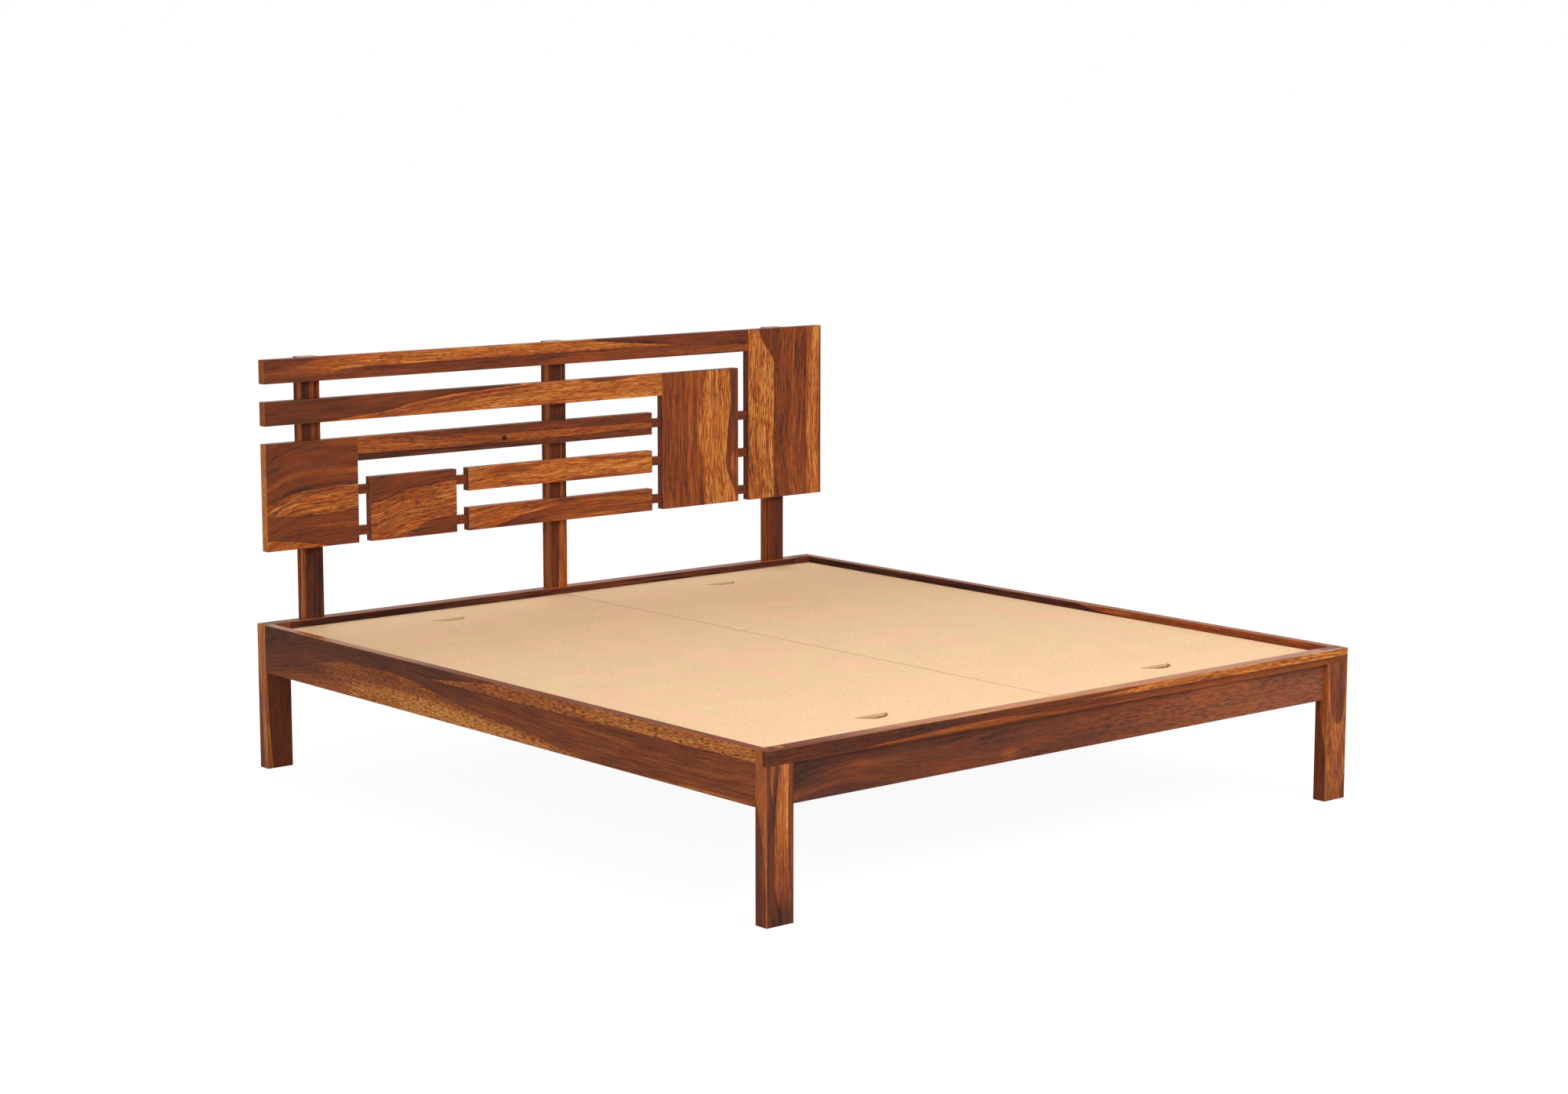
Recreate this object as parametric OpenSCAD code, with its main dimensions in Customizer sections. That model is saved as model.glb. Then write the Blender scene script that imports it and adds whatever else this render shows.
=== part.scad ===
// Low platform bed frame for a mattress of 1829 x 1981 mm, with a headboard of slats and panels.
// The origin is on the floor at the middle of the frame. +X is the right side seen from the foot,
// +Y points to the headboard and +Z up. All sizes are in millimetres.

/* [Frame] */
// Width over the side rails
bed_w = 1905; // [1700:5:2000]
// Length from the foot legs' outer faces to the head legs' outer faces
bed_l = 2083; // [1950:1:2200]
// Height of the legs and of the rails' top edges above the floor
frame_h = 385; // [350:1:450]
// Width of a corner leg, across the bed
leg_w = 76; // [72:1:95]
// Thickness of a corner leg, along the bed
leg_t = 38; // [36:1:50]
// Height of the rails
rail_h = 127; // [124:1:150]
// Thickness of a side rail
side_rail_t = 25; // [22:0.5:28]
// Thickness of the foot rail, behind its cap strip
foot_rail_t = 25; // [20:0.5:28]
// Height of the cap strip along the top of the foot end
strip_h = 34; // [28:1:45]
// Width of the small chamfer on the edges of the show wood
arris = 1; // [0.4:0.1:1.6]

/* [Headboard] */
// Height of the headboard's lower edge above the floor
board_z = 579.5; // [540:0.5:640]
// Height of one slat
slat_h = 63; // [55:1:75]
// Gap between two slats
slat_gap = 46.5; // [38:0.5:60]
// Thickness of the slats and panels
board_t = 25; // [22:0.5:30]
// Width of the panel at the left end
left_panel_w = 281; // [220:1:330]
// Width of the panel at the right end
right_panel_w = 281; // [220:1:330]
// Width of the tall block beside the right panel
tall_block_w = 281; // [220:1:320]
// Width of the small block beside the left panel
small_block_w = 275; // [200:1:320]
// Gap that the ties bridge between neighbouring boards
board_gap = 38; // [25:1:50]
// Height of a tie
tie_h = 25; // [18:1:35]
// Thickness of a tie
tie_t = 13; // [8:0.5:15]
// Length of a tie's end inside a board
tie_end = 20; // [12:1:30]
// Diameter of the dowels in the boards' butt joints
dowel_d = 10; // [8:0.5:12]
// Length of these dowels
dowel_l = 60; // [50:1:80]

/* [Posts] */
// Width of a headboard post
post_w = 57; // [50:1:70]
// Distance of an outer post's middle from the headboard's end
post_in = 154.5; // [110:0.5:190]
// Length of a post's tenon inside the head rail
post_tenon_l = 60; // [40:1:75]

/* [Joints] */
// Thickness of the rail and post tenons
tenon_t = 12; // [8:0.5:14]
// Shoulder left around a tenon
shoulder = 8; // [5:0.5:9]
// Clearance around ties and tenons
joint_fit = 0.2; // [0.1:0.05:0.3]
// Radial clearance around screws, dowels, bolts and inserts
bore_fit = 0.1; // [0.05:0.05:0.2]
// Diameter of the dowels between side rails and legs
rail_dowel_d = 8; // [6:0.5:10]
// Length of these dowels
rail_dowel_l = 40; // [30:1:50]
// Distance of the upper ones from the rail's top edge
rail_dowel_edge = 22; // [16:1:26]

/* [Corner brackets] */
// Height of a bracket
bracket_h = 64; // [58:1:68]
// Length of each flange
bracket_flange = 46; // [40:1:48]
// Thickness of the steel
bracket_t = 3; // [2:0.5:4]
// Diameter of the bracket bolts
bolt_d = 8; // [6:1:8]
// Width of a bolt head across its flats
bolt_flats = 13; // [12:1:14]
// Height of a bolt head
bolt_head_h = 5; // [4:0.5:7]
// Outer diameter of the threaded inserts
insert_d = 12; // [11:0.5:13]
// Length of the threaded inserts
insert_l = 13; // [10:0.5:14]
// Distance of the bolts from the bracket's corner
bolt_in = 20; // [18:1:22]
// Height of a bracket above the rails' lower edges, and its distance from a cleat
bracket_room = 3; // [2:0.5:4]
// Wood left between an insert or a screw head and the next cut
insert_wall = 2; // [1:0.5:3]

/* [Deck] */
// Thickness of the two loose deck boards
deck_t = 12; // [9:1:18]
// Depth of the mattress well, from the rails' top edges to the deck
deck_drop = 18.5; // [12:0.5:25]
// Gap between a deck board and the rails
deck_gap = 2; // [1:0.5:4]
// Gap between the two deck boards
seam_gap = 2; // [1:0.5:4]
// Distance of this seam from the middle of the bed
seam_x = 13; // [-20:1:20]
// Length of a finger notch's straight edge
notch_w = 102; // [80:1:130]
// Depth of a finger notch, from its straight edge to its arc
notch_d = 38; // [25:1:40]
// Distance of the notches' middles from the middle of the bed
notch_x = 470; // [400:1:550]
// Distance of a notch from its end of the deck board
notch_end = 135; // [112:1:147]

/* [Support] */
// Thickness of the cross slats under the deck
cross_slat_t = 22; // [18:1:25]
// Width of a cross slat
cross_slat_w = 70; // [55:1:85]
// Gap between the end slats and the head and foot rails
cross_slat_end = 5; // [4:1:10]
// Gap between a cross slat's ends and the side rails
cross_slat_side = 2; // [1:0.5:5]
// Thickness of the side cleats
cleat_t = 25; // [22:1:35]
// Height of the side cleats
cleat_h = 30; // [26:1:36]
// Width of the centre beam
beam_w = 64; // [58:1:90]
// Height of the centre beam
beam_h = 48; // [40:1:50]
// Thickness of the blocks under the beam's ends
rest_t = 25; // [20:1:40]
// Width of these blocks
rest_w = 110; // [90:1:140]
// Thickness of the centre leg, both ways
centre_leg_w = 50; // [40:1:60]
// Length of the plate between centre leg and beam
plate_l = 120; // [110:1:150]
// Thickness of this plate
plate_t = 3; // [2:0.5:4]
// Diameter of the centre leg's glide
glide_d = 38; // [30:1:40]
// Height of this glide
glide_h = 6; // [4:1:10]
// Diameter of the pins in the centre leg's two ends
leg_pin_d = 8; // [6:0.5:10]
// Length of these pins
leg_pin_l = 30; // [20:1:40]

/* [Screws] */
// Shank diameter of the wood screws
screw_d = 4.5; // [3.5:0.5:5.5]
// Head diameter of the wood screws
screw_head_d = 9; // [8:0.5:10]
// Depth of a headboard screw in a board
board_bite = 17; // [12:1:19]
// Depth of every other screw in the piece behind
frame_bite = 15; // [10:1:16]
// Depth of a cap strip screw in the strip
strip_bite = 8; // [5:0.5:9]
// Number of screws along the cap strip
strip_screw_count = 6; // [4:1:8]
// Number of screws along a side cleat
cleat_screw_count = 6; // [4:2:8]
// Distance of the first of them from the cleat's end
cleat_screw_margin = 60; // [40:1:80]
// Least distance of a cross slat's screw from the cleat's end
slat_screw_in = 12; // [10:1:20]

/* [Hidden] */
$fn = 32;

// Colours of the woods and metals
gold_wood = [0.64, 0.36, 0.16];
red_wood = [0.45, 0.22, 0.12];
dark_wood = [0.33, 0.16, 0.10];
plain_wood = [0.76, 0.60, 0.40];
deck_tan = [0.87, 0.74, 0.56];
zinc = [0.72, 0.73, 0.75];
brass = [0.78, 0.62, 0.30];
nylon = [0.12, 0.12, 0.13];

// Planes that the pieces share
half_w = bed_w / 2;
half_l = bed_l / 2;
inner_x = half_w - side_rail_t;
inner_y = half_l - leg_t;
leg_x = half_w - leg_w;
rail_z = frame_h - rail_h;
strip_t = leg_t - foot_rail_t;
deck_z = frame_h - deck_drop - deck_t;
slat_z = deck_z - cross_slat_t;
beam_z = slat_z - beam_h;
board_y = inner_y - board_t;
post_x = half_w - post_in;
overlap = 1;

// Rails' tenons stop before the bolt inserts of the corner brackets
rail_tenon_l = leg_w - side_rail_t - bolt_in - insert_d / 2 - insert_wall;
rail_tenon_z = rail_z + shoulder;
rail_tenon_top = frame_h - strip_h - shoulder;
head_tenon_y = half_l - leg_t / 2;
foot_tenon_y = -inner_y - foot_rail_t / 2;
foot_tenon_t = foot_rail_t - 2 * shoulder;

// Headboard rows are counted from the top
rows = 5;
row_pitch = slat_h + slat_gap;
function row_z(row) = board_z + (rows - row) * row_pitch;
function row_top(row) = row_z(row) + slat_h;
function row_mid(row) = row_z(row) + slat_h / 2;

// Left and right edges of the boards
left_panel_r = left_panel_w - half_w;
small_block_l = left_panel_r + board_gap;
small_block_r = small_block_l + small_block_w;
right_panel_l = half_w - right_panel_w;
tall_block_r = right_panel_l - board_gap;
tall_block_l = tall_block_r - tall_block_w;
slat_r = tall_block_l - board_gap;
low_slat_l = small_block_r + board_gap;

// Places of the ties' middles across the bed, row by row
panel_tie_x = left_panel_r + board_gap / 2;
block_tie_x = small_block_r + board_gap / 2;
slat_tie_x = slat_r + board_gap / 2;
right_tie_x = tall_block_r + board_gap / 2;
third_ties = [[slat_tie_x, 3], [right_tie_x, 3]];
fourth_ties = [for (x = [panel_tie_x, block_tie_x, slat_tie_x, right_tie_x]) [x, 4]];
fifth_ties = [for (x = [panel_tie_x, block_tie_x, slat_tie_x, right_tie_x]) [x, 5]];
all_ties = concat(third_ties, fourth_ties, fifth_ties);
tie_y = board_y + board_t / 2;

// Dowels stand one above the other in the three butt joints
dowel_spread = slat_h / 2;
dowel_places = [for (joint = [[right_panel_l, 1], [tall_block_l, 2], [left_panel_r, 3]])
                for (side = [-1, 1])
                [joint[0], row_mid(joint[1]) + side * dowel_spread / 2]];

// Screws through the posts into the boards: post place and row
screw_spread = slat_h / 2;
board_screw_rows = [[-post_x, 1], [-post_x, 2], [-post_x, 3], [-post_x, 5],
                    [0, 1], [0, 2], [0, 3], [0, 4], [0, 5],
                    [post_x, 1], [post_x, 3], [post_x, 5]];
board_screw_places = [for (place = board_screw_rows)
                      for (side = [-1, 1])
                      [place[0], row_mid(place[1]) + side * screw_spread / 2]];

// Nine cross slats, the end ones close to the head and foot rails
slat_count = 9;
end_slat_y = inner_y - cross_slat_end - cross_slat_w / 2;
slat_pitch = 2 * end_slat_y / (slat_count - 1);
function cross_slat_y(number) = (number - 1) * slat_pitch - end_slat_y;

// Cleats stop short of the corner brackets
cleat_end = inner_y - bracket_flange - bracket_room;
bracket_z = rail_z + bracket_room;
bolt_zs = [bracket_z + bracket_h / 4, bracket_z + bracket_h * 3 / 4];
cleat_screw_end = cleat_end - cleat_screw_margin;
cleat_screw_ys = [for (i = [0 : cleat_screw_count - 1])
                  -cleat_screw_end + i * 2 * cleat_screw_end / (cleat_screw_count - 1)];
cleat_screw_z = slat_z - cleat_h + screw_head_d;

// Screws along the cap strip, the end ones through the legs
strip_screw_z = frame_h - strip_h + screw_head_d / 2 + insert_wall;
strip_screw_end = half_w - leg_w / 2;
strip_screw_xs = [for (i = [0 : strip_screw_count - 1])
                  -strip_screw_end + i * 2 * strip_screw_end / (strip_screw_count - 1)];

// Screws of the beam rests and of the centre leg's plate
rest_screw_x = rest_w / 2 - 2 * screw_head_d;
rest_screw_z = (rail_z + beam_z) / 2;
plate_screw_y = (plate_l + centre_leg_w) / 4;
plate_screw_x = centre_leg_w / 4;
screw_head_h = (screw_head_d - screw_d) / 2;

// Two dowels at each end of a side rail, one between the bolts and one near its top edge
rail_dowel_zs = [(bolt_zs[0] + bolt_zs[1]) / 2, frame_h - rail_dowel_edge];
rail_dowel_x = half_w - side_rail_t / 2;

// Circle through a notch's two ends and the crown of its arc
notch_r = (pow(notch_w / 2, 2) + pow(notch_d, 2)) / (2 * notch_d);
deck_end = inner_y - deck_gap;

// Straight edges of the notches at the foot and at the head, both on the head side of their arcs
notch_ys = [notch_end + notch_d - deck_end, deck_end - notch_end];

// Plain box between two corners
module block(low, high) {
    translate(low)
        cube(high - low);
}

module chamfered_rectangle(a, b) {
    polygon([[arris, 0], [a - arris, 0], [a, arris], [a, b - arris],
             [a - arris, b], [arris, b], [0, b - arris], [0, arris]]);
}

// Planed timber between two corners, with a small chamfer on all its edges
module timber(low, high) {
    size = high - low;
    translate(low)
        intersection() {
            linear_extrude(size.z)
                chamfered_rectangle(size.x, size.y);
            translate([size.x, 0, 0])
                rotate([0, -90, 0])
                linear_extrude(size.x)
                chamfered_rectangle(size.z, size.y);
            translate([0, size.y, 0])
                rotate([90, 0, 0])
                linear_extrude(size.y)
                chamfered_rectangle(size.x, size.z);
        }
}

// Corners, cleats and brackets are modelled at the right and head side, and these mirror them
module to_side(side) {
    if (side < 0)
        mirror([1, 0, 0]) children();
    else
        children();
}

module to_end(end) {
    if (end < 0)
        mirror([0, 1, 0]) children();
    else
        children();
}

// Countersunk screw: its head lies at the origin and its point below
module screw(length, room = 0) {
    tip = screw_d;
    rotate_extrude()
        polygon([[0, 0], [screw_head_d / 2 + room, 0], [screw_d / 2 + room, -screw_head_h],
                 [screw_d / 2 + room, tip - length], [0, -length - room]]);
}

// Round pin along Z, centred at the origin
module pin(diameter, length, room = 0) {
    cylinder(d = diameter + 2 * room, h = length + 2 * room, center = true);
}

module dowel_in_boards(room = 0) {
    for (place = dowel_places)
        translate([place[0], tie_y, place[1]])
        rotate([0, 90, 0])
        pin(dowel_d, dowel_l, room);
}

module screw_in_boards(room = 0) {
    for (place = board_screw_places)
        translate([place[0], half_l, place[1]])
        rotate([-90, 0, 0])
        screw(leg_t + board_bite, room);
}

module tie(place, room = 0) {
    size = [board_gap + 2 * tie_end, tie_t, tie_h] + 2 * room * [1, 1, 1];
    translate([place[0], tie_y, row_mid(place[1])])
        cube(size, center = true);
}

// Headboard board from one edge to the other, between two rows
module headboard_board(left, right, low_row, high_row) {
    difference() {
        timber([left, board_y, row_z(low_row)], [right, inner_y, row_top(high_row)]);
        for (place = all_ties)
            tie(place, joint_fit);
        dowel_in_boards(bore_fit);
        screw_in_boards(bore_fit);
    }
}

module first_slat() {
    color(red_wood)
        headboard_board(-half_w, right_panel_l, 1, 1);
}

module second_slat() {
    color(gold_wood)
        headboard_board(-half_w, tall_block_l, 2, 2);
}

module third_slat() {
    color(red_wood)
        headboard_board(left_panel_r, slat_r, 3, 3);
}

module fourth_slat() {
    color(gold_wood)
        headboard_board(low_slat_l, slat_r, 4, 4);
}

module fifth_slat() {
    color(gold_wood)
        headboard_board(low_slat_l, slat_r, 5, 5);
}

module left_panel() {
    color(red_wood)
        headboard_board(-half_w, left_panel_r, 5, 3);
}

module small_block() {
    color(red_wood)
        headboard_board(small_block_l, small_block_r, 5, 4);
}

module tall_block() {
    color(red_wood)
        headboard_board(tall_block_l, tall_block_r, 5, 2);
}

module right_panel() {
    color(gold_wood)
        headboard_board(right_panel_l, half_w, 5, 1);
}

module ties(places) {
    color(dark_wood)
        for (place = places)
            tie(place);
}

module third_row_ties() {
    ties(third_ties);
}

module fourth_row_ties() {
    ties(fourth_ties);
}

module fifth_row_ties() {
    ties(fifth_ties);
}

module board_dowels() {
    color(plain_wood)
        dowel_in_boards();
}

module headboard_screws() {
    color(zinc)
        screw_in_boards();
}

module post_tenon(x, room = 0) {
    half_size = [post_w / 2 - shoulder + room, tenon_t / 2 + room];
    block([x - half_size.x, head_tenon_y - half_size.y, frame_h - post_tenon_l - room],
          [x + half_size.x, head_tenon_y + half_size.y, frame_h + overlap]);
}

module post(x) {
    color(red_wood)
        difference() {
            union() {
                timber([x - post_w / 2, inner_y, frame_h], [x + post_w / 2, half_l, row_top(1)]);
                post_tenon(x);
            }
            screw_in_boards(bore_fit);
        }
}

module post_left() {
    post(-post_x);
}

module post_middle() {
    post(0);
}

module post_right() {
    post(post_x);
}

// Tenon at the right end of the head rail or foot rail, at a place along the bed
module rail_tenon(y, thickness, room = 0) {
    half_size = thickness / 2 + room;
    block([leg_x - overlap, y - half_size, rail_tenon_z - room],
          [leg_x + rail_tenon_l + room, y + half_size, rail_tenon_top + room]);
}

module head_rail() {
    color(red_wood)
        difference() {
            union() {
                timber([-leg_x, inner_y, rail_z], [leg_x, half_l, frame_h]);
                for (side = [-1, 1])
                    to_side(side)
                    rail_tenon(head_tenon_y, tenon_t);
            }
            for (x = [-post_x, 0, post_x])
                post_tenon(x, joint_fit);
            rest_screw_set(1, bore_fit);
        }
}

module foot_rail() {
    color(red_wood)
        difference() {
            union() {
                timber([-leg_x, strip_t - half_l, rail_z], [leg_x, -inner_y, frame_h]);
                for (side = [-1, 1])
                    to_side(side)
                    rail_tenon(foot_tenon_y, foot_tenon_t);
            }
            strip_screw_set(bore_fit);
            rest_screw_set(-1, bore_fit);
        }
}

module foot_strip() {
    color(dark_wood)
        difference() {
            timber([-half_w, -half_l, frame_h - strip_h], [half_w, strip_t - half_l, frame_h]);
            strip_screw_set(bore_fit);
        }
}

module strip_screw_set(room = 0) {
    for (x = strip_screw_xs)
        translate([x, -inner_y, strip_screw_z])
        rotate([-90, 0, 0])
        screw(foot_rail_t + strip_bite, room);
}

module strip_screws() {
    color(zinc)
        strip_screw_set();
}

// Inserts of the head right corner, which the other corners mirror as they do its bolts and dowels
module corner_inserts(room = 0) {
    for (z = bolt_zs) {
        translate([inner_x - bolt_in, inner_y + insert_l / 2, z])
            rotate([90, 0, 0])
            pin(insert_d, insert_l, room);
        translate([inner_x + insert_l / 2, inner_y - bolt_in, z])
            rotate([0, 90, 0])
            pin(insert_d, insert_l, room);
    }
}

module corner_bolts(room = 0) {
    length = bracket_t + insert_l;
    for (z = bolt_zs) {
        translate([inner_x - bolt_in, inner_y - bracket_t, z])
            rotate([-90, 0, 0])
            bolt(length, room);
        translate([inner_x - bracket_t, inner_y - bolt_in, z])
            rotate([0, 90, 0])
            bolt(length, room);
    }
}

// Hexagon bolt along Z: its head lies under the origin and its shank above
module bolt(length, room = 0) {
    cylinder(d = bolt_d + 2 * room, h = length);
    translate([0, 0, -bolt_head_h])
        cylinder(d = bolt_flats / cos(30), h = bolt_head_h, $fn = 6);
}

module corner_dowels(room = 0) {
    for (z = rail_dowel_zs)
        translate([rail_dowel_x, inner_y, z])
        rotate([90, 0, 0])
        pin(rail_dowel_d, rail_dowel_l, room);
}

module corner_leg(side, end, tenon_y, thickness) {
    to_side(side)
        to_end(end)
        difference() {
            timber([leg_x, inner_y, 0], [half_w, half_l, frame_h]);
            rail_tenon(end * tenon_y, thickness, joint_fit);
            corner_inserts(bore_fit);
            corner_dowels(bore_fit);
        }
}

module head_leg(side) {
    color(gold_wood)
        corner_leg(side, 1, head_tenon_y, tenon_t);
}

module foot_leg(side) {
    notch_low = [-half_w - overlap, -half_l - overlap, frame_h - strip_h];
    notch_high = [half_w + overlap, strip_t - half_l, frame_h + overlap];
    color(gold_wood)
        difference() {
            corner_leg(side, -1, foot_tenon_y, foot_tenon_t);
            block(notch_low, notch_high);
            strip_screw_set(bore_fit);
        }
}

module head_leg_left() {
    head_leg(-1);
}

module head_leg_right() {
    head_leg(1);
}

module foot_leg_left() {
    foot_leg(-1);
}

module foot_leg_right() {
    foot_leg(1);
}

module side_rail(side) {
    color(dark_wood)
        to_side(side)
        difference() {
            timber([inner_x, -inner_y, rail_z], [half_w, inner_y, frame_h]);
            for (end = [-1, 1])
                to_end(end) {
                    corner_inserts(bore_fit);
                    corner_dowels(bore_fit);
                }
            cleat_screw_set(bore_fit);
        }
}

module side_rail_left() {
    side_rail(-1);
}

module side_rail_right() {
    side_rail(1);
}

module rail_dowels() {
    color(plain_wood)
        for (side = [-1, 1])
            for (end = [-1, 1])
                to_side(side)
                to_end(end)
                corner_dowels();
}

module bracket(side, end) {
    low = [inner_x - bracket_flange, inner_y - bracket_flange, bracket_z];
    high = [inner_x, inner_y, bracket_z + bracket_h];
    color(zinc)
        to_side(side)
        to_end(end)
        difference() {
            block(low, high);
            block(low - [overlap, overlap, overlap], high + [-bracket_t, -bracket_t, overlap]);
            corner_bolts(bore_fit);
        }
}

module bracket_head_left() {
    bracket(-1, 1);
}

module bracket_head_right() {
    bracket(1, 1);
}

module bracket_foot_left() {
    bracket(-1, -1);
}

module bracket_foot_right() {
    bracket(1, -1);
}

module bracket_bolts() {
    color(zinc)
        for (side = [-1, 1])
            for (end = [-1, 1])
                to_side(side)
                to_end(end)
                corner_bolts();
}

module bolt_inserts() {
    color(brass)
        for (side = [-1, 1])
            for (end = [-1, 1])
                to_side(side)
                to_end(end)
                difference() {
                    corner_inserts();
                    corner_bolts(bore_fit);
                }
}

// Screws of the right side cleat
module cleat_screw_set(room = 0) {
    for (y = cleat_screw_ys)
        translate([inner_x - cleat_t, y, cleat_screw_z])
        rotate([0, -90, 0])
        screw(cleat_t + frame_bite, room);
}

// Screws through the cross slats into the cleats and the beam
module slat_screw_set(room = 0) {
    for (number = [1 : slat_count]) {
        y = cross_slat_y(number);
        cleat_y = max(-cleat_end + slat_screw_in, min(cleat_end - slat_screw_in, y));
        for (side = [-1, 1])
            translate([side * (inner_x - cleat_t / 2), cleat_y, deck_z])
            screw(cross_slat_t + frame_bite, room);
        translate([0, y, deck_z])
            screw(cross_slat_t + frame_bite, room);
    }
}

module side_cleat(side) {
    color(plain_wood)
        difference() {
            to_side(side)
                difference() {
                    block([inner_x - cleat_t, -cleat_end, slat_z - cleat_h],
                          [inner_x, cleat_end, slat_z]);
                    cleat_screw_set(bore_fit);
                }
            slat_screw_set(bore_fit);
        }
}

module side_cleat_left() {
    side_cleat(-1);
}

module side_cleat_right() {
    side_cleat(1);
}

module cleat_screws() {
    color(zinc)
        for (side = [-1, 1])
            to_side(side)
            cleat_screw_set();
}

module centre_beam() {
    color(plain_wood)
        difference() {
            block([-beam_w / 2, -inner_y, beam_z], [beam_w / 2, inner_y, slat_z]);
            slat_screw_set(bore_fit);
            plate_screw_set(bore_fit);
        }
}

// Screws of the block under the beam's head end or foot end
module rest_screw_set(end, room = 0) {
    to_end(end)
        for (side = [-1, 1])
            translate([side * rest_screw_x, inner_y - rest_t, rest_screw_z])
            rotate([90, 0, 0])
            screw(rest_t + frame_bite, room);
}

module beam_rest(end) {
    color(plain_wood)
        difference() {
            to_end(end)
                block([-rest_w / 2, inner_y - rest_t, rail_z], [rest_w / 2, inner_y, beam_z]);
            rest_screw_set(end, bore_fit);
        }
}

module beam_rest_head() {
    beam_rest(1);
}

module beam_rest_foot() {
    beam_rest(-1);
}

module rest_screws() {
    color(zinc)
        for (end = [-1, 1])
            rest_screw_set(end);
}

module cross_slat(number) {
    y = cross_slat_y(number);
    reach = inner_x - cross_slat_side;
    color(plain_wood)
        difference() {
            block([-reach, y - cross_slat_w / 2, slat_z], [reach, y + cross_slat_w / 2, deck_z]);
            slat_screw_set(bore_fit);
        }
}

module slat_screws() {
    color(zinc)
        slat_screw_set();
}

// Screws through the plate's ends up into the beam
module plate_screw_set(room = 0) {
    for (side = [-1, 1])
        for (end = [-1, 1])
            translate([side * plate_screw_x, end * plate_screw_y, beam_z - plate_t])
            rotate([180, 0, 0])
            screw(plate_t + frame_bite, room);
}

module plate_pin(room = 0) {
    translate([0, 0, beam_z - plate_t - leg_pin_l / 2])
        pin(leg_pin_d, leg_pin_l, room);
}

module glide_pin(room = 0) {
    translate([0, 0, glide_h + leg_pin_l / 2])
        pin(leg_pin_d, leg_pin_l, room);
}

module centre_leg() {
    reach = centre_leg_w / 2;
    color(plain_wood)
        difference() {
            block([-reach, -reach, glide_h], [reach, reach, beam_z - plate_t]);
            plate_pin(bore_fit);
            glide_pin(bore_fit);
        }
}

module centre_leg_plate() {
    reach = [centre_leg_w / 2, plate_l / 2];
    color(zinc)
        union() {
            difference() {
                block([-reach.x, -reach.y, beam_z - plate_t], [reach.x, reach.y, beam_z]);
                plate_screw_set(bore_fit);
            }
            plate_pin();
        }
}

module centre_leg_glide() {
    color(nylon)
        union() {
            cylinder(d = glide_d, h = glide_h);
            glide_pin();
        }
}

module plate_screws() {
    color(zinc)
        plate_screw_set();
}

// Half-moon finger notch, with its straight edge along the X axis and its arc towards the foot
module notch() {
    intersection() {
        translate([0, notch_r - notch_d, deck_z - overlap])
            cylinder(r = notch_r, h = deck_t + 2 * overlap, $fn = 96);
        translate([-notch_w, -notch_r, deck_z - overlap])
            cube([2 * notch_w, notch_r, deck_t + 2 * overlap]);
    }
}

module deck_board(left, right, side) {
    color(deck_tan)
        difference() {
            block([left, -deck_end, deck_z], [right, deck_end, deck_z + deck_t]);
            for (straight_y = notch_ys)
                translate([side * notch_x, straight_y, 0])
                notch();
        }
}

module deck_board_left() {
    deck_board(deck_gap - inner_x, seam_x - seam_gap / 2, -1);
}

module deck_board_right() {
    deck_board(seam_x + seam_gap / 2, inner_x - deck_gap, 1);
}

head_leg_left();
head_leg_right();
head_rail();
post_left();
post_middle();
post_right();
first_slat();
second_slat();
third_slat();
fourth_slat();
fifth_slat();
left_panel();
small_block();
tall_block();
right_panel();
third_row_ties();
fourth_row_ties();
fifth_row_ties();
board_dowels();
headboard_screws();
foot_leg_left();
foot_leg_right();
foot_rail();
foot_strip();
strip_screws();
side_rail_left();
side_rail_right();
rail_dowels();
bracket_head_left();
bracket_head_right();
bracket_foot_left();
bracket_foot_right();
bracket_bolts();
bolt_inserts();
side_cleat_left();
side_cleat_right();
cleat_screws();
centre_beam();
beam_rest_head();
beam_rest_foot();
rest_screws();
cross_slat(1);  // cross_slat_1
cross_slat(2);  // cross_slat_2
cross_slat(3);  // cross_slat_3
cross_slat(4);  // cross_slat_4
cross_slat(5);  // cross_slat_5
cross_slat(6);  // cross_slat_6
cross_slat(7);  // cross_slat_7
cross_slat(8);  // cross_slat_8
cross_slat(9);  // cross_slat_9
slat_screws();
centre_leg();
centre_leg_plate();
centre_leg_glide();
plate_screws();
deck_board_left();
deck_board_right();
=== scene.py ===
import math

import bmesh
import bpy
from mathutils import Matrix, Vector


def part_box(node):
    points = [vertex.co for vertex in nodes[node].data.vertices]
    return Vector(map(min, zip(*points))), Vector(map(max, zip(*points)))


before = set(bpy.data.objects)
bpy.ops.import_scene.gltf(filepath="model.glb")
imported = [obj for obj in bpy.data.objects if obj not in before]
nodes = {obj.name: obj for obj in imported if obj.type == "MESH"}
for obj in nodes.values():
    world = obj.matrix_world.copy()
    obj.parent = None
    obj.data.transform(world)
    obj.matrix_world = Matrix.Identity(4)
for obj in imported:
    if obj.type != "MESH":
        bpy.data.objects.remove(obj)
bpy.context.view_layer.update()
print("frame loaded:", len(nodes), "nodes")


# small helpers for node trees

def addNode(tree, kind, **settings):
    node = tree.nodes.new(kind)
    for name, value in settings.items():
        setattr(node, name, value)
    return node


def plug(tree, socket, value):  # value is a number, a colour or another socket
    if isinstance(value, bpy.types.NodeSocket):
        tree.links.new(value, socket)
    else:
        socket.default_value = value


def calc(tree, operation, a, b=0.0, clamp=False):
    node = addNode(tree, "ShaderNodeMath", operation=operation, use_clamp=clamp)
    plug(tree, node.inputs[0], a)
    plug(tree, node.inputs[1], b)
    return node.outputs[0]


def plus(tree, a, b, clamp=False):
    return calc(tree, "ADD", a, b, clamp)


def minus(tree, a, b, clamp=False):
    return calc(tree, "SUBTRACT", a, b, clamp)


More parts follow.
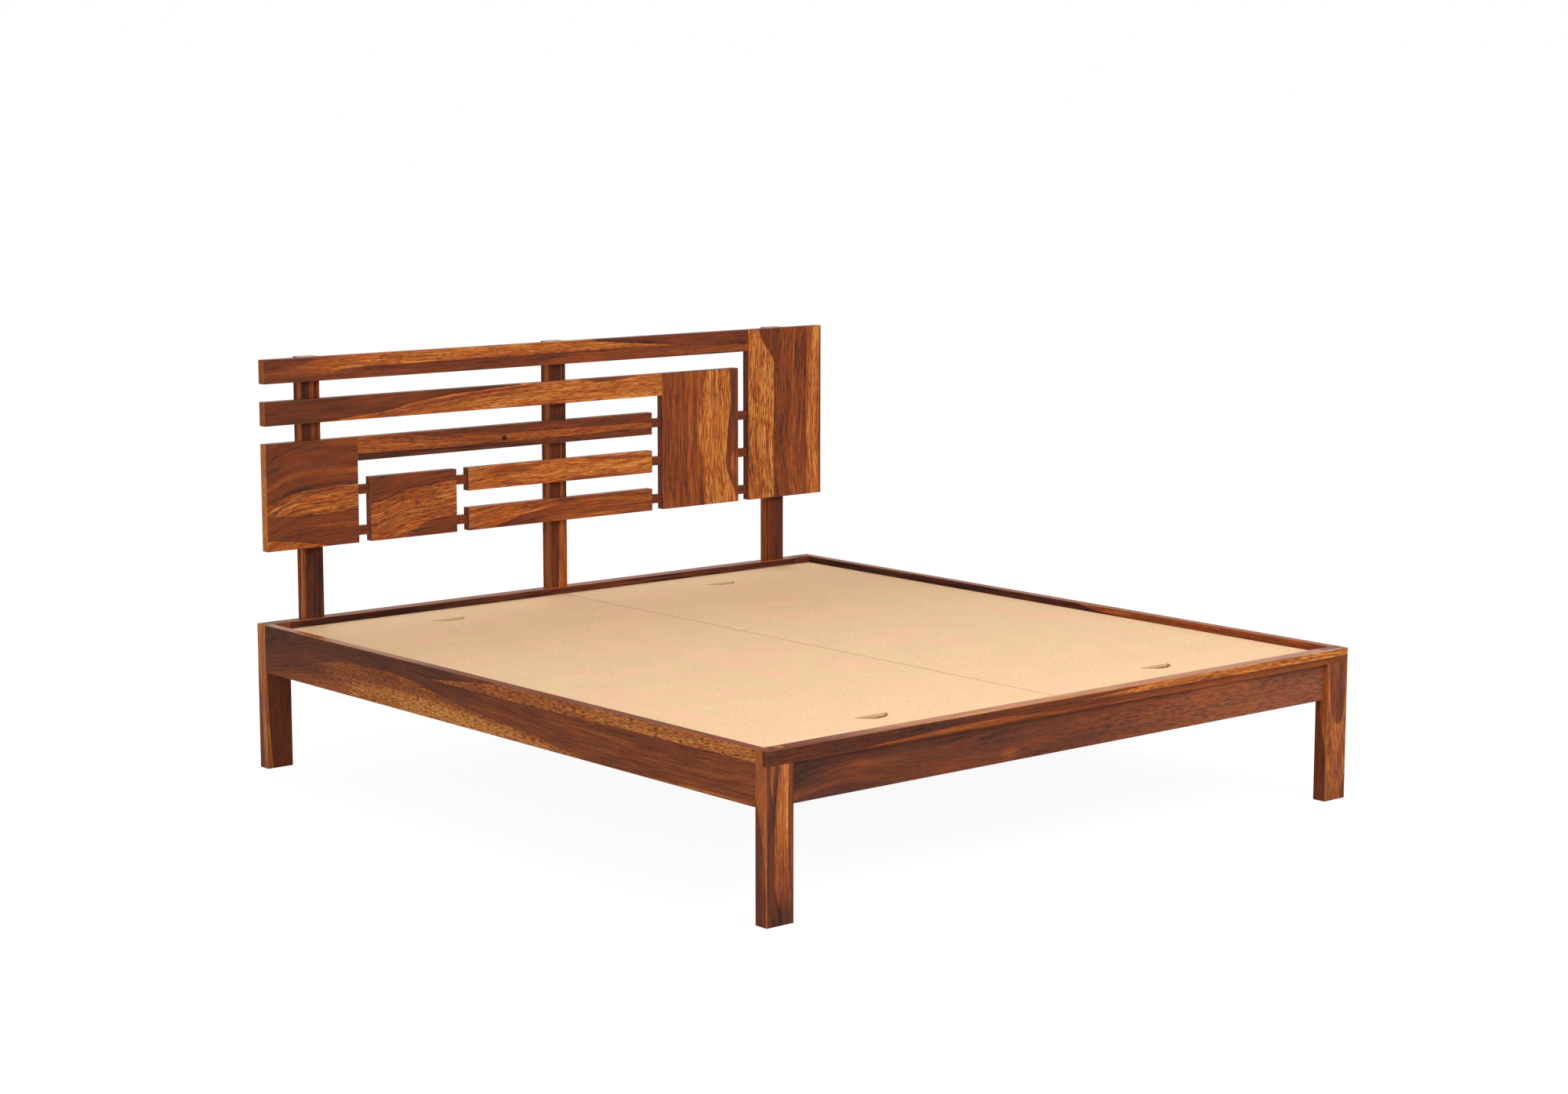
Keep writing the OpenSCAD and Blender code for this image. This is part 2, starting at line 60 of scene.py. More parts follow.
def times(tree, a, b):
    return calc(tree, "MULTIPLY", a, b)


def ramp(tree, value, fromMin, fromMax, toMin=0.0, toMax=1.0, smooth=False):
    node = addNode(tree, "ShaderNodeMapRange", interpolation_type="SMOOTHSTEP" if smooth else "LINEAR")
    for socket, amount in zip(node.inputs, (value, fromMin, fromMax, toMin, toMax)):
        plug(tree, socket, amount)
    return node.outputs[0]


def mixColour(tree, factor, a, b, blend="MIX"):
    node = addNode(tree, "ShaderNodeMix", data_type="RGBA", blend_type=blend)
    plug(tree, node.inputs[0], factor)
    plug(tree, node.inputs[6], a)  # its colours are sockets 6 and 7
    plug(tree, node.inputs[7], b)
    return node.outputs[2]


def mixVector(tree, factor, a, b):
    node = addNode(tree, "ShaderNodeMix", data_type="VECTOR")
    plug(tree, node.inputs[0], factor)
    plug(tree, node.inputs[4], a)  # its vectors are sockets 4 and 5
    plug(tree, node.inputs[5], b)
    return node.outputs[1]


def split(tree, vector):  # its x, y and z
    node = addNode(tree, "ShaderNodeSeparateXYZ")
    tree.links.new(vector, node.inputs[0])
    return node.outputs


def join(tree, *values):
    node = addNode(tree, "ShaderNodeCombineXYZ")
    for socket, value in zip(node.inputs, values):
        plug(tree, socket, value)
    return node.outputs[0]


def vectorCalc(tree, operation, a, b):
    node = addNode(tree, "ShaderNodeVectorMath", operation=operation)
    plug(tree, node.inputs[0], a)
    plug(tree, node.inputs[1], b)
    return node.outputs[0]


def noise(tree, vector, detail=2.0, roughness=0.5):
    node = addNode(tree, "ShaderNodeTexNoise")
    node.inputs["Scale"].default_value = 1.0
    node.inputs["Detail"].default_value = detail
    node.inputs["Roughness"].default_value = roughness
    tree.links.new(vector, node.inputs["Vector"])
    return node.outputs["Fac"]


noiseSpan = (0.3, 0.7)  # nearly all of a noise lies between these


def speckle(tree, place, scale, detail, roughness):  # noise with so many waves per metre, spread over 0 to 1
    stretch = addNode(tree, "ShaderNodeMapping")
    stretch.inputs["Scale"].default_value = scale
    tree.links.new(place, stretch.inputs["Vector"])
    return ramp(tree, noise(tree, stretch.outputs[0], detail, roughness), *noiseSpan)


def tint(red, green, blue):  # a colour as a picture shows it, 0 to 255, as the shader wants it
    def toLinear(value):
        value /= 255
        return value / 12.92 if value <= 0.04045 else ((value + 0.055) / 1.055) ** 2.4
    return (toLinear(red), toLinear(green), toLinear(blue), 1.0)


def startGroup(name, inputs, outputs):
    group = bpy.data.node_groups.new(name, "ShaderNodeTree")
    for label, kind, value in inputs:
        socket = group.interface.new_socket(name=label, in_out="INPUT", socket_type=kind)
        if value is not None:
            socket.default_value = value
    for label, kind in outputs:
        group.interface.new_socket(name=label, in_out="OUTPUT", socket_type=kind)
    return group, addNode(group, "NodeGroupInput").outputs, addNode(group, "NodeGroupOutput").inputs


def placeGroup(tree, group, **values):
    node = addNode(tree, "ShaderNodeGroup", node_tree=group)
    for name, value in values.items():
        plug(tree, node.inputs[name], value)
    return node.outputs


def startMaterial(name):
    material = bpy.data.materials.new(name)
    material.use_nodes = True
    tree = material.node_tree
    tree.nodes.clear()
    shader = addNode(tree, "ShaderNodeBsdfPrincipled")
    tree.links.new(shader.outputs[0], addNode(tree, "ShaderNodeOutputMaterial").inputs["Surface"])
    return material, tree, shader


def addBump(tree, shader, height, strength, distance):
    bump = addNode(tree, "ShaderNodeBump")
    bump.inputs["Strength"].default_value = strength
    bump.inputs["Distance"].default_value = distance
    plug(tree, bump.inputs["Height"], height)
    plug(tree, shader.inputs["Normal"], bump.outputs[0])


def dress(names, material):
    for name in names:
        slots = nodes[name].data.materials
        for index in range(len(slots)):
            slots[index] = material


# the camera stands where the photograph was taken from

view = {
    "place": (-4.971682, -5.839552, 1.744118),  # metres
    "yaw": 0.703205,  # radians
    "pitch": -0.146369,
    "lens": 69.595,  # millimetres
    "sensor": 36.0,
    "reach": 200.0,  # metres
}

cameraData = bpy.data.cameras.new("camera")
cameraData.lens = view["lens"]
cameraData.sensor_width = view["sensor"]
cameraData.clip_end = view["reach"]
camera = bpy.data.objects.new("camera", cameraData)
camera.location = view["place"]
camera.rotation_euler = (math.pi / 2 + view["pitch"], 0.0, -view["yaw"])
bpy.context.scene.collection.objects.link(camera)
bpy.context.scene.camera = camera
bpy.context.scene.view_settings.view_transform = "Standard"
print("camera placed")


# floor, backdrop and lamps

studio = {
    "sky": 0.54,  # even light from all round
    "gloss": 0.5,  # how bright the backdrop is in a reflection
    "lamps": {  # place, aim, size in metres and power in watts of each soft lamp
        "key lamp": ((0.2, -3.4, 3.2), (0.0, -0.9, 0.3), 2.4, 111.0),
        "side lamp": ((-5.2, -1.2, 1.5), (-0.9, 0.0, 0.3), 2.2, 60.0),
        "back lamp": ((0.6, 4.2, 3.6), (0.0, 1.0, 0.6), 2.4, 30.0),
    },
    "floorTint": (0.6, 0.6, 0.59, 1.0),
    "floorSize": 60.0,  # metres from its middle to its edge
    "floorHeight": -0.0005,  # metres, just under the feet
    "floorGlow": 0.93,  # white that the camera sees whatever the light
    "floorShadow": 0.14,  # share of the lamps' light, which keeps the shadow
}

for name, (place, aim, size, power) in studio["lamps"].items():
    lamp = bpy.data.lights.new(name, "AREA")
    lamp.shape = "SQUARE"
    lamp.size = size
    lamp.energy = power
    lampObject = bpy.data.objects.new(name, lamp)
    lampObject.location = place
    lampObject.rotation_euler = (Vector(aim) - Vector(place)).to_track_quat("-Z", "Y").to_euler()
    bpy.context.scene.collection.objects.link(lampObject)

world = bpy.data.worlds.new("studio")
bpy.context.scene.world = world
world.use_nodes = True
worldTree = world.node_tree
worldTree.nodes.clear()
worldPath = addNode(worldTree, "ShaderNodeLightPath").outputs
skyLight = addNode(worldTree, "ShaderNodeBackground")
seenGlossy = calc(worldTree, "MAXIMUM", worldPath["Is Glossy Ray"], worldPath["Is Transmission Ray"])
skyStrength = ramp(worldTree, seenGlossy, 0.0, 1.0, studio["sky"], studio["gloss"])
skyStrength = ramp(worldTree, worldPath["Is Camera Ray"], 0.0, 1.0, skyStrength, 1.0)
plug(worldTree, skyLight.inputs["Strength"], skyStrength)
skyLight.inputs["Color"].default_value = (1.0, 1.0, 1.0, 1.0)
worldTree.links.new(skyLight.outputs[0], addNode(worldTree, "ShaderNodeOutputWorld").inputs["Surface"])

floorMesh = bpy.data.meshes.new("floor")
floorShape = bmesh.new()
bmesh.ops.create_grid(floorShape, x_segments=1, y_segments=1, size=studio["floorSize"])
bmesh.ops.translate(floorShape, verts=floorShape.verts, vec=(0.0, 0.0, studio["floorHeight"]))
floorShape.to_mesh(floorMesh)
floorShape.free()
floor = bpy.data.objects.new("floor", floorMesh)
bpy.context.scene.collection.objects.link(floor)
floorMaterial = bpy.data.materials.new("pale studio floor")
floorMaterial.use_nodes = True
floorTree = floorMaterial.node_tree
floorTree.nodes.clear()
matt = addNode(floorTree, "ShaderNodeBsdfDiffuse")
matt.inputs["Color"].default_value = studio["floorTint"]
shadow = addNode(floorTree, "ShaderNodeBsdfDiffuse")
shadow.inputs["Color"].default_value = [studio["floorShadow"]] * 3 + [1.0]
white = addNode(floorTree, "ShaderNodeEmission")
white.inputs["Strength"].default_value = studio["floorGlow"]
seen = addNode(floorTree, "ShaderNodeAddShader")
floorTree.links.new(white.outputs[0], seen.inputs[0])
floorTree.links.new(shadow.outputs[0], seen.inputs[1])
floorMix = addNode(floorTree, "ShaderNodeMixShader")
floorPath = addNode(floorTree, "ShaderNodeLightPath").outputs
floorTree.links.new(floorPath["Is Camera Ray"], floorMix.inputs["Fac"])
floorTree.links.new(matt.outputs[0], floorMix.inputs[1])
floorTree.links.new(seen.outputs[0], floorMix.inputs[2])
floorTree.links.new(floorMix.outputs[0], addNode(floorTree, "ShaderNodeOutputMaterial").inputs["Surface"])
floorMesh.materials.append(floorMaterial)
print("floor and lamps ready")


# shared node groups

number = "NodeSocketFloat"
grainLayers = {  # waves per metre along and across the grain, shift, detail, roughness, and the noise's span
    "broad": (1.7, 38.0, 11.0, 1.0, 0.5, 0.32, 0.68),
    "middle": (4.5, 125.0, 23.0, 1.0, 0.5, 0.34, 0.66),
    "fine": (9.0, 300.0, 29.0, 2.0, 0.6, 0.36, 0.64),
    "Fleck": (40.0, 400.0, 37.0, 2.0, 0.6, 0.46, 0.64),
    "Pore": (120.0, 1500.0, 53.0, 1.0, 0.5, 0.56, 0.7),
    "Cloud": (3.0, 16.0, 71.0, 2.0, 0.5, *noiseSpan),
    "Hue": (11.0, 70.0, 91.0, 2.0, 0.6, *noiseSpan),
}
streakShares = {"broad": 0.2, "middle": 0.27, "fine": 0.53}
seedSteps = (7.31, 3.17)  # how far a seed of 1 moves the noise along the grain and through the board


def buildGrain():  # streaks, flecks, pores and clouds of a hardwood, from metres along and across its grain
    group, given, out = startGroup(
        "hardwood grain",
        [("Along", number, 0.0), ("Across", number, 0.0), ("Depth", number, 0.0), ("Seed", number, 0.0)],
        [("Streak", number), ("Fleck", number), ("Pore", number), ("Cloud", number), ("Hue", number)])

    def layer(name):
        along, across, shift, detail, roughness, low, high = grainLayers[name]
        stretched = join(group, times(group, given["Along"], along), times(group, given["Across"], across),
                         times(group, given["Depth"], across))
        seed = given["Seed"]
        shifted = join(group, times(group, seed, seedSteps[0]), plus(group, seed, shift),
                       times(group, seed, seedSteps[1]))
        place = vectorCalc(group, "ADD", stretched, shifted)
        return ramp(group, noise(group, place, detail, roughness), low, high)

    broad, middle, fine = [times(group, layer(name), share) for name, share in streakShares.items()]
    plug(group, out["Streak"], plus(group, plus(group, broad, middle), fine))
    for name in ("Fleck", "Pore", "Cloud", "Hue"):
        plug(group, out[name], layer(name))
    return group


def buildBand():  # mask of a band of another tone between two borders, and of the dark line along them
    group, given, out = startGroup(
        "band of sapwood",
        [("Along", number, 0.0), ("Across", number, 0.0), ("Low", number, 0.0), ("High", number, 1.0),
         ("Soft", number, 0.002), ("Start", number, -9.0), ("End", number, 9.0), ("Fade", number, 0.05),
         ("Line Width", number, 0.003)],
        [("Mask", number), ("Line", number)])
    along, across, low, high, soft, start, end, fade = [given[index] for index in range(8)]

    def rising(value, first, last):
        return ramp(group, value, first, last, smooth=True)

    def falling(value, first, last):
        return ramp(group, value, first, last, 1.0, 0.0, smooth=True)

    aboveLow = rising(across, minus(group, low, soft), plus(group, low, soft))
    belowHigh = falling(across, minus(group, high, soft), plus(group, high, soft))
    begun = rising(along, start, plus(group, start, fade))
    unfinished = falling(along, minus(group, end, fade), end)
    reach = times(group, begun, unfinished)
    plug(group, out["Mask"], times(group, times(group, aboveLow, belowHigh), reach))
    near = [falling(calc(group, "ABSOLUTE", minus(group, across, edge)), 0.0, given["Line Width"])
            for edge in (low, high)]
    isOpen = calc(group, "GREATER_THAN", minus(group, high, low), 0.0)
    line = times(group, calc(group, "MAXIMUM", *near), reach)
    plug(group, out["Line"], times(group, line, isOpen))
    return group


stain = {
    "stops": [  # tone of the wood, 0 dark heartwood and 1 golden sapwood, and its colour
        (0.0, (52, 30, 26)), (0.12, (84, 48, 36)), (0.27, (113, 57, 35)), (0.42, (134, 68, 37)),
        (0.58, (153, 80, 39)), (0.75, (177, 98, 45)), (0.9, (199, 121, 54)), (1.0, (219, 148, 74))],
    "streaks": (0.05, 1.3),  # how far a streak shifts the tone, at a streak amount of 0 and of 1
    "clouds": 0.12,
    "flecks": 0.3,  # a fleck past this darkens the tone
    "lines": 0.3,
    "redder": (1.05, 0.9, 0.84, 1.0),
    "yellower": (0.96, 1.1, 1.12, 1.0),
    "pores": (0.35, (52, 28, 18)),  # how much of which colour
    "wearAndHighlight": (0.18, (186, 116, 70)),  # painted highlight and wear on the small bevels
    "bevels": (0.8, 0.95),  # largest part of the normal where the painted highlight and wear is whole and where it ends
    "roughness": 0.19,
    "rougher": {"Pore": 0.12, "Streak": 0.06, "Fleck": 0.05},
    "streakHeight": 0.35,
    "fleckHeight": 0.3,
}


def buildTone():  # tone of the wood to colour, roughness and height
    group, given, out = startGroup(
        "stained hardwood",
        [("Figure", "NodeSocketVector", None), ("Streak", number, 0.5), ("Fleck", number, 0.0),
         ("Pore", number, 0.0), ("Cloud", number, 0.5), ("Hue", number, 0.5), ("Line", number, 0.0),
         ("Arris", number, 0.0)],
        [("Colour", "NodeSocketColor"), ("Roughness", number), ("Height", number)])

    tone, streakAmount, fleckAmount = split(group, given["Figure"])
    streakAmount = ramp(group, streakAmount, 0.0, 1.0, *stain["streaks"])
    tone = plus(group, tone, times(group, streakAmount, minus(group, given["Streak"], 0.5)))
    tone = plus(group, tone, times(group, minus(group, given["Cloud"], 0.5), stain["clouds"]))
    tone = minus(group, tone, times(group, fleckAmount, minus(group, given["Fleck"], stain["flecks"])))
    tone = minus(group, tone, times(group, given["Line"], stain["lines"]), clamp=True)
    colours = addNode(group, "ShaderNodeValToRGB")
    elements = colours.color_ramp.elements
    for place, shade in stain["stops"][1:-1]:
        elements.new(place)
    for element, (place, shade) in zip(elements, stain["stops"]):
        element.position = place
        element.color = tint(*shade)
    group.links.new(tone, colours.inputs[0])
    cast = mixColour(group, given["Hue"], stain["redder"], stain["yellower"])
    colour = mixColour(group, 1.0, colours.outputs[0], cast, "MULTIPLY")
    # the small bevels get a painted highlight mixed with lighter wear
    for name, (amount, shade) in (("Pore", stain["pores"]), ("Arris", stain["wearAndHighlight"])):
        colour = mixColour(group, times(group, given[name], amount), colour, tint(*shade))
    plug(group, out["Colour"], colour)
    rough = stain["roughness"]
    for name, amount in stain["rougher"].items():
        rough = plus(group, rough, times(group, given[name], amount))
    plug(group, out["Roughness"], rough)
    height = minus(group, times(group, given["Streak"], stain["streakHeight"]), given["Pore"])
    plug(group, out["Height"], minus(group, height, times(group, given["Fleck"], stain["fleckHeight"])))
    return group


def buildArris():  # finds the small bevels by their slanted normals
    group, given, out = startGroup("arris", [], [("Mask", number)])
    normal = split(group, addNode(group, "ShaderNodeTexCoord").outputs["Normal"])
    flat = [calc(group, "ABSOLUTE", side) for side in normal]
    most = calc(group, "MAXIMUM", calc(group, "MAXIMUM", flat[0], flat[1]), flat[2])
    plug(group, out["Mask"], ramp(group, most, *stain["bevels"], 1.0, 0.0))
    return group


grainGroup = buildGrain()
bandGroup = buildBand()
toneGroup = buildTone()
arrisGroup = buildArris()
print("node groups built")


# stained boards: places are millimetres along the grain and across it

mm = 0.001  # metres
hardwood = {
    "streak": 0.25,  # this and the next five hold for a board that gives none of its own
    "fleck": 0.1,
    "gloss": 0.12,
    "ochre": 0.0,  # turns the wood yellower
    "finer": 1.0,
    "wander": 8,  # millimetres from side to side, of the grain's slow wander
    "soft": 1.5,  # millimetres on each side of a border, for a band that gives none of its own
    "fade": 60,  # millimetres at each end, for such a band
    "wanderWaves": (5.0, 26.0),  # per metre, along the grain and across it
    "wanderNoise": (2.0, 0.45),  # detail and roughness
    "margin": 0.2,  # share of a board's width that borders may lie outside it
    "knotCore": 0.35,  # share of a knot that is dark all through
    "flowSpan": (-200.0, 200.0),  # millimetres that a flow line may turn the grain aside
    "shareSpan": (0.0, 1000.0),  # a painted sheen or polish of 1000 is a whole one
    "endStreak": 0.3,
    "endFleck": 0.1,
    "bump": (0.35, 0.0003),  # strength, and depth in metres
    "paintedSheenTint": (176, 122, 102),  # pale pink of the painted sheen
    "polishRoughness": 0.22,
}
grainAxes = {"x": (0, 2, 1), "y": (1, 2, 0), "z": (2, 0, 1)}  # along, across and through the board
facing = 0.6  # a normal past this belongs to a face that looks along its axis
beyond = 50  # millimetres that a band without a border runs past the board
forever = 9000  # millimetres that a band without an end runs


# a board's tone, streak and fleck are its plain wood, end is the tone of its end grain, the grain follows
# flow, narrow is the figure of its narrow faces, veil is a painted sheen, a pale pink cast, and polish a shine
# on its top face
# a band has a wood of its own between low and high and from start to end, and line is how dark its borders are
# a knot has a place along and across, a length, a width and a strength

def band(tone, streak=0.3, fleck=0.1, **more):
    return {"figure": (tone, streak, fleck), **more}


def own(piece, key):
    return piece.get(key, hardwood[key])


def border(tree, share, places, alongSpan, acrossSpan):  # a curve across the board, or one number all along
    if not isinstance(places, list):
        return places * mm
    curveNode = addNode(tree, "ShaderNodeFloatCurve")
    curve = curveNode.mapping.curves[0]

    def shareOf(value, span):
        return min(max((value - span[0]) / (span[1] - span[0]), 0.0), 1.0)

    shares = [(shareOf(along, alongSpan), shareOf(across, acrossSpan)) for along, across in sorted(places)]
    for place in shares[2:]:
        curve.points.new(*place)
    for point, place in zip(curve.points, shares):
        point.location = place
    curveNode.mapping.update()
    tree.links.new(share, curveNode.inputs["Value"])
    return ramp(tree, curveNode.outputs[0], 0.0, 1.0, acrossSpan[0] * mm, acrossSpan[1] * mm)


def figureFor(tree, board, along, across, share, alongSpan, acrossSpan):
    margin = (acrossSpan[1] - acrossSpan[0]) * hardwood["margin"]
    acrossSpan = (acrossSpan[0] - margin, acrossSpan[1] + margin)
    figure = join(tree, board["tone"], own(board, "streak"), own(board, "fleck"))
    line = 0.0

    def edge(places):
        return border(tree, share, places, alongSpan, acrossSpan)

    for stripe in board.get("bands", []):
        mask = placeGroup(tree, bandGroup, Along=along, Across=across,
                          Low=edge(stripe.get("low", acrossSpan[0] - beyond)),
                          High=edge(stripe.get("high", acrossSpan[1] + beyond)),
                          Soft=own(stripe, "soft") * mm, Fade=own(stripe, "fade") * mm,
                          Start=stripe.get("start", -forever) * mm, End=stripe.get("end", forever) * mm)
        figure = mixVector(tree, mask["Mask"], figure, stripe["figure"])
        if "line" in stripe:
            line = calc(tree, "MAXIMUM", line, times(tree, mask["Line"], stripe["line"]))
    for alongPlace, acrossPlace, length, width, strength in board.get("knots", []):
        x = calc(tree, "DIVIDE", minus(tree, along, alongPlace * mm), length * mm)
        y = calc(tree, "DIVIDE", minus(tree, across, acrossPlace * mm), width * mm)
        away = calc(tree, "SQRT", plus(tree, times(tree, x, x), times(tree, y, y)))
        knot = times(tree, ramp(tree, away, hardwood["knotCore"], 1.0, 1.0, 0.0, smooth=True), strength)
        line = calc(tree, "MAXIMUM", line, knot)
    return figure, line


def finishBoard(board):
    low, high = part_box(board["node"])
    order = grainAxes[board["grain"]]
    material, tree, shader = startMaterial(board["node"] + " hardwood")
    coordinates = addNode(tree, "ShaderNodeTexCoord").outputs
    place = split(tree, coordinates["Object"])
    normal = split(tree, coordinates["Normal"])
    along, across, depth = [place[axis] for axis in order]
    alongSpan, acrossSpan, depthSpan = [(low[axis] / mm, high[axis] / mm) for axis in order]
    share = ramp(tree, along, alongSpan[0] * mm, alongSpan[1] * mm)

    def lineAlong(key, span):
        return border(tree, share, board[key], alongSpan, hardwood[span])

    def facesAlong(axis):
        return calc(tree, "GREATER_THAN", calc(tree, "ABSOLUTE", normal[axis]), facing)

    waves = [hardwood["wanderWaves"][0 if axis == order[0] else 1] for axis in range(3)]
    stretched = vectorCalc(tree, "MULTIPLY", coordinates["Object"], waves)
    wave = minus(tree, noise(tree, stretched, *hardwood["wanderNoise"]), 0.5)
    wave = times(tree, wave, own(board, "wander") * mm)
    bent = plus(tree, across, wave)
    figure, line = figureFor(tree, board, along, bent, share, alongSpan, acrossSpan)
    flow = bent
    if "flow" in board:  # the grain runs along this line
        flow = minus(tree, bent, lineAlong("flow", "flowSpan"))
    if "narrow" in board:  # the narrow faces have a figure of their own
        narrowFigure, narrowLine = figureFor(tree, board["narrow"], along, plus(tree, depth, wave), share,
                                             alongSpan, depthSpan)
        onNarrow = facesAlong(order[1])
        figure = mixVector(tree, onNarrow, figure, narrowFigure)
        line = ramp(tree, onNarrow, 0.0, 1.0, line, narrowLine)
    if "end" in board:  # tone of the end grain
        onEnd = facesAlong(order[0])
        figure = mixVector(tree, onEnd, figure, (board["end"], hardwood["endStreak"], hardwood["endFleck"]))
        line = times(tree, line, minus(tree, 1.0, onEnd))

    finer = own(board, "finer")
    grain = placeGroup(tree, grainGroup, Seed=board["seed"], Along=times(tree, along, finer),
                       Across=times(tree, flow, finer), Depth=times(tree, depth, finer))
    hue = plus(tree, grain["Hue"], own(board, "ochre"), clamp=True)
    wood = placeGroup(tree, toneGroup, Figure=figure, Streak=grain["Streak"], Fleck=grain["Fleck"],
                      Pore=grain["Pore"], Cloud=grain["Cloud"], Line=line, Hue=hue,
                      Arris=placeGroup(tree, arrisGroup)["Mask"])
    colour = wood["Colour"]
    # a painted sheen: a pale pink cast mixed into the colour
    if "paintedSheen" in board:
        colour = mixColour(tree, lineAlong("paintedSheen", "shareSpan"), colour, tint(*hardwood["paintedSheenTint"]))
    plug(tree, shader.inputs["Base Color"], colour)
    plug(tree, shader.inputs["Roughness"], wood["Roughness"])
    shader.inputs["Specular IOR Level"].default_value = own(board, "gloss")
    addBump(tree, shader, wood["Height"], *hardwood["bump"])
    if "polish" in board:  # shine of the top face
        onTop = calc(tree, "GREATER_THAN", normal[2], facing)
        shine = times(tree, lineAlong("polish", "shareSpan"), onTop)
        plug(tree, shader.inputs["Coat Weight"], shine)
        shader.inputs["Coat Roughness"].default_value = hardwood["polishRoughness"]
    dress([board["node"]], material)
    print("finished", board["node"])


# headboard slats

firstSlat = {
    "node": "first_slat", "grain": "x", "seed": 3.0, "tone": 0.26, "streak": 0.28, "fleck": 0.12,
    "end": 0.55,
    "bands": [
        band(0.42, 0.4, soft=8, end=-620, fade=90, low=[(-952, 1034), (-780, 1034), (-620, 1048)],
             high=[(-952, 1052), (-860, 1064), (-760, 1080)]),
        band(0.4, 0.4, soft=5, start=-130, end=380, fade=130,
             high=[(-130, 1018), (-30, 1034), (60, 1046), (380, 1046)]),
        band(0.75, 0.45, 0.36, line=0.6, start=-925, fade=330,
             low=[(-952, 1037), (-850, 1031), (-778, 1030), (-730, 1039), (-687, 1046), (-600, 1047),
                  (671, 1048)],
             high=[(-952, 1040), (-890, 1050), (-820, 1070), (-750, 1092), (60, 1092), (125, 1076),
                   (250, 1063), (415, 1050), (500, 1040), (671, 1030)]),
        band(0.15, soft=3, start=40, end=430, fade=160, low=[(40, 1081), (250, 1065), (430, 1050)],
             high=[(40, 1084), (250, 1072), (430, 1058)]),
        band(0.46, 0.5, 0.2, soft=5, start=220, fade=200, low=[(250, 1018), (671, 1020)],
             high=[(250, 1040), (671, 1044)]),
        band(0.6, 0.5, soft=4, start=520, fade=100, high=[(540, 1016), (600, 1027), (671, 1034)]),
    ],
    "knots": [(652, 1043, 22, 5, 1.2)],
}
secondSlat = {
    "node": "second_slat", "grain": "x", "seed": 5.0, "tone": 0.2, "streak": 0.16, "fleck": 0.08,
    "end": 0.55,
    "flow": [(-952, 0), (-650, 4), (-450, 24), (-250, 38), (352, 42)],
    "bands": [
        band(0.26, 0.2, soft=8, start=-740, end=-300, fade=200, low=940, high=975),
        band(0.76, 0.45, 0.36, line=0.8,
             high=[(-952, 898), (-800, 908), (-652, 921), (-562, 928), (-502, 943), (-452, 949),
                   (-277, 963), (-152, 970), (-90, 982), (352, 982)]),
        band(0.6, 0.45, 0.3, soft=3, start=-780, end=-250, fade=170,
             high=[(-952, 896), (-800, 906), (-652, 919), (-562, 925), (-502, 938), (-452, 944),
                   (-277, 952)]),
        band(0.86, 0.45, 0.36, soft=5, start=40, fade=220, high=936),
        band(0.5, 0.4, 0.2, soft=2, start=-430, end=-60, fade=90,
             low=[(-430, 938), (-277, 952), (-60, 962)], high=[(-430, 942), (-277, 957), (-60, 969)]),
        band(0.36, soft=2.5, start=20, end=300,
             low=[(30, 974), (90, 966), (155, 960), (220, 965), (285, 974)]),
    ],
}
thirdSlat = {
    "node": "third_slat", "grain": "x", "seed": 8.0, "tone": 0.27, "streak": 0.3, "fleck": 0.12,
    "end": 0.25,
    "flow": [(-671, 14), (-500, 6), (-350, 0), (314, 0)],
    "bands": [
        band(0.54, 0.45, 0.36, soft=2.5, line=0.5, low=[(-671, 815), (-400, 813), (0, 815), (314, 816)],
             high=[(-671, 872), (-540, 866), (-470, 854), (-400, 846), (-300, 842), (-200, 839),
                   (0, 837), (314, 834)]),
        band(0.42, 0.5, soft=4, start=-600, end=-120, fade=150,
             low=[(-600, 866), (-470, 850), (-300, 843), (-120, 840)],
             high=[(-600, 876), (-470, 866), (-300, 850), (-120, 843)]),
        band(0.5, 0.4, 0.3, soft=3, start=-420, fade=300, low=[(-671, 818), (314, 818)],
             high=[(-671, 836), (314, 832)]),
        band(0.37, 0.4, 0.2, soft=5, start=-390, end=-130, fade=90, low=818, high=840),
        band(0.08, soft=2, end=200, fade=500, high=[(-671, 814), (-300, 812), (314, 804)]),
    ],
    "knots": [(-199, 825, 11, 8, 3.2)],
}
fourthSlat = {
    "node": "fourth_slat", "grain": "x", "seed": 13.0, "tone": 0.73, "streak": 0.5, "fleck": 0.34,
    "end": 0.28,
    "flow": [(-320, 0), (-200, 8), (-100, 2), (0, 8), (120, 2), (314, 10)],
    "bands": [
        band(0.46, 0.5, soft=4, start=-320, end=-60, fade=120, low=728, high=744),
        band(0.46, soft=2.5, start=40, low=[(60, 748), (150, 742), (230, 738), (314, 736)],
             high=[(60, 752), (150, 747), (230, 744), (314, 743)]),
        band(0.48, 0.4, soft=3, start=-20, end=290, low=[(-20, 690), (120, 688), (250, 686)],
             high=[(-20, 696), (120, 699), (250, 694)]),
    ],
    "knots": [(-78, 706, 26, 6, 0.7), (-60, 714, 20, 3, 0.6)],
}
fifthSlat = {
    "node": "fifth_slat", "grain": "x", "seed": 17.0, "tone": 0.62, "streak": 0.5, "fleck": 0.34,
    "end": 0.28,
    "flow": [(-320, -20), (-150, 0), (0, 14), (314, 16)],
    "bands": [
        band(0.31, 0.35, 0.05, line=0.6,
             high=[(-320, 560), (-240, 579), (-152, 602), (-100, 611), (-44, 620), (22, 631), (200, 631),
                   (314, 628)]),
        band(0.43, 0.6, 0.15, start=-110, fade=170),
        band(0.54, 0.5, 0.2, soft=6, start=-50, fade=120, low=612),
        band(0.36, 0.5, soft=3, start=150, fade=100, low=628, high=634),
    ],
}
for board in (firstSlat, secondSlat, thirdSlat, fourthSlat, fifthSlat):
    finishBoard(board)


# headboard panels and blocks

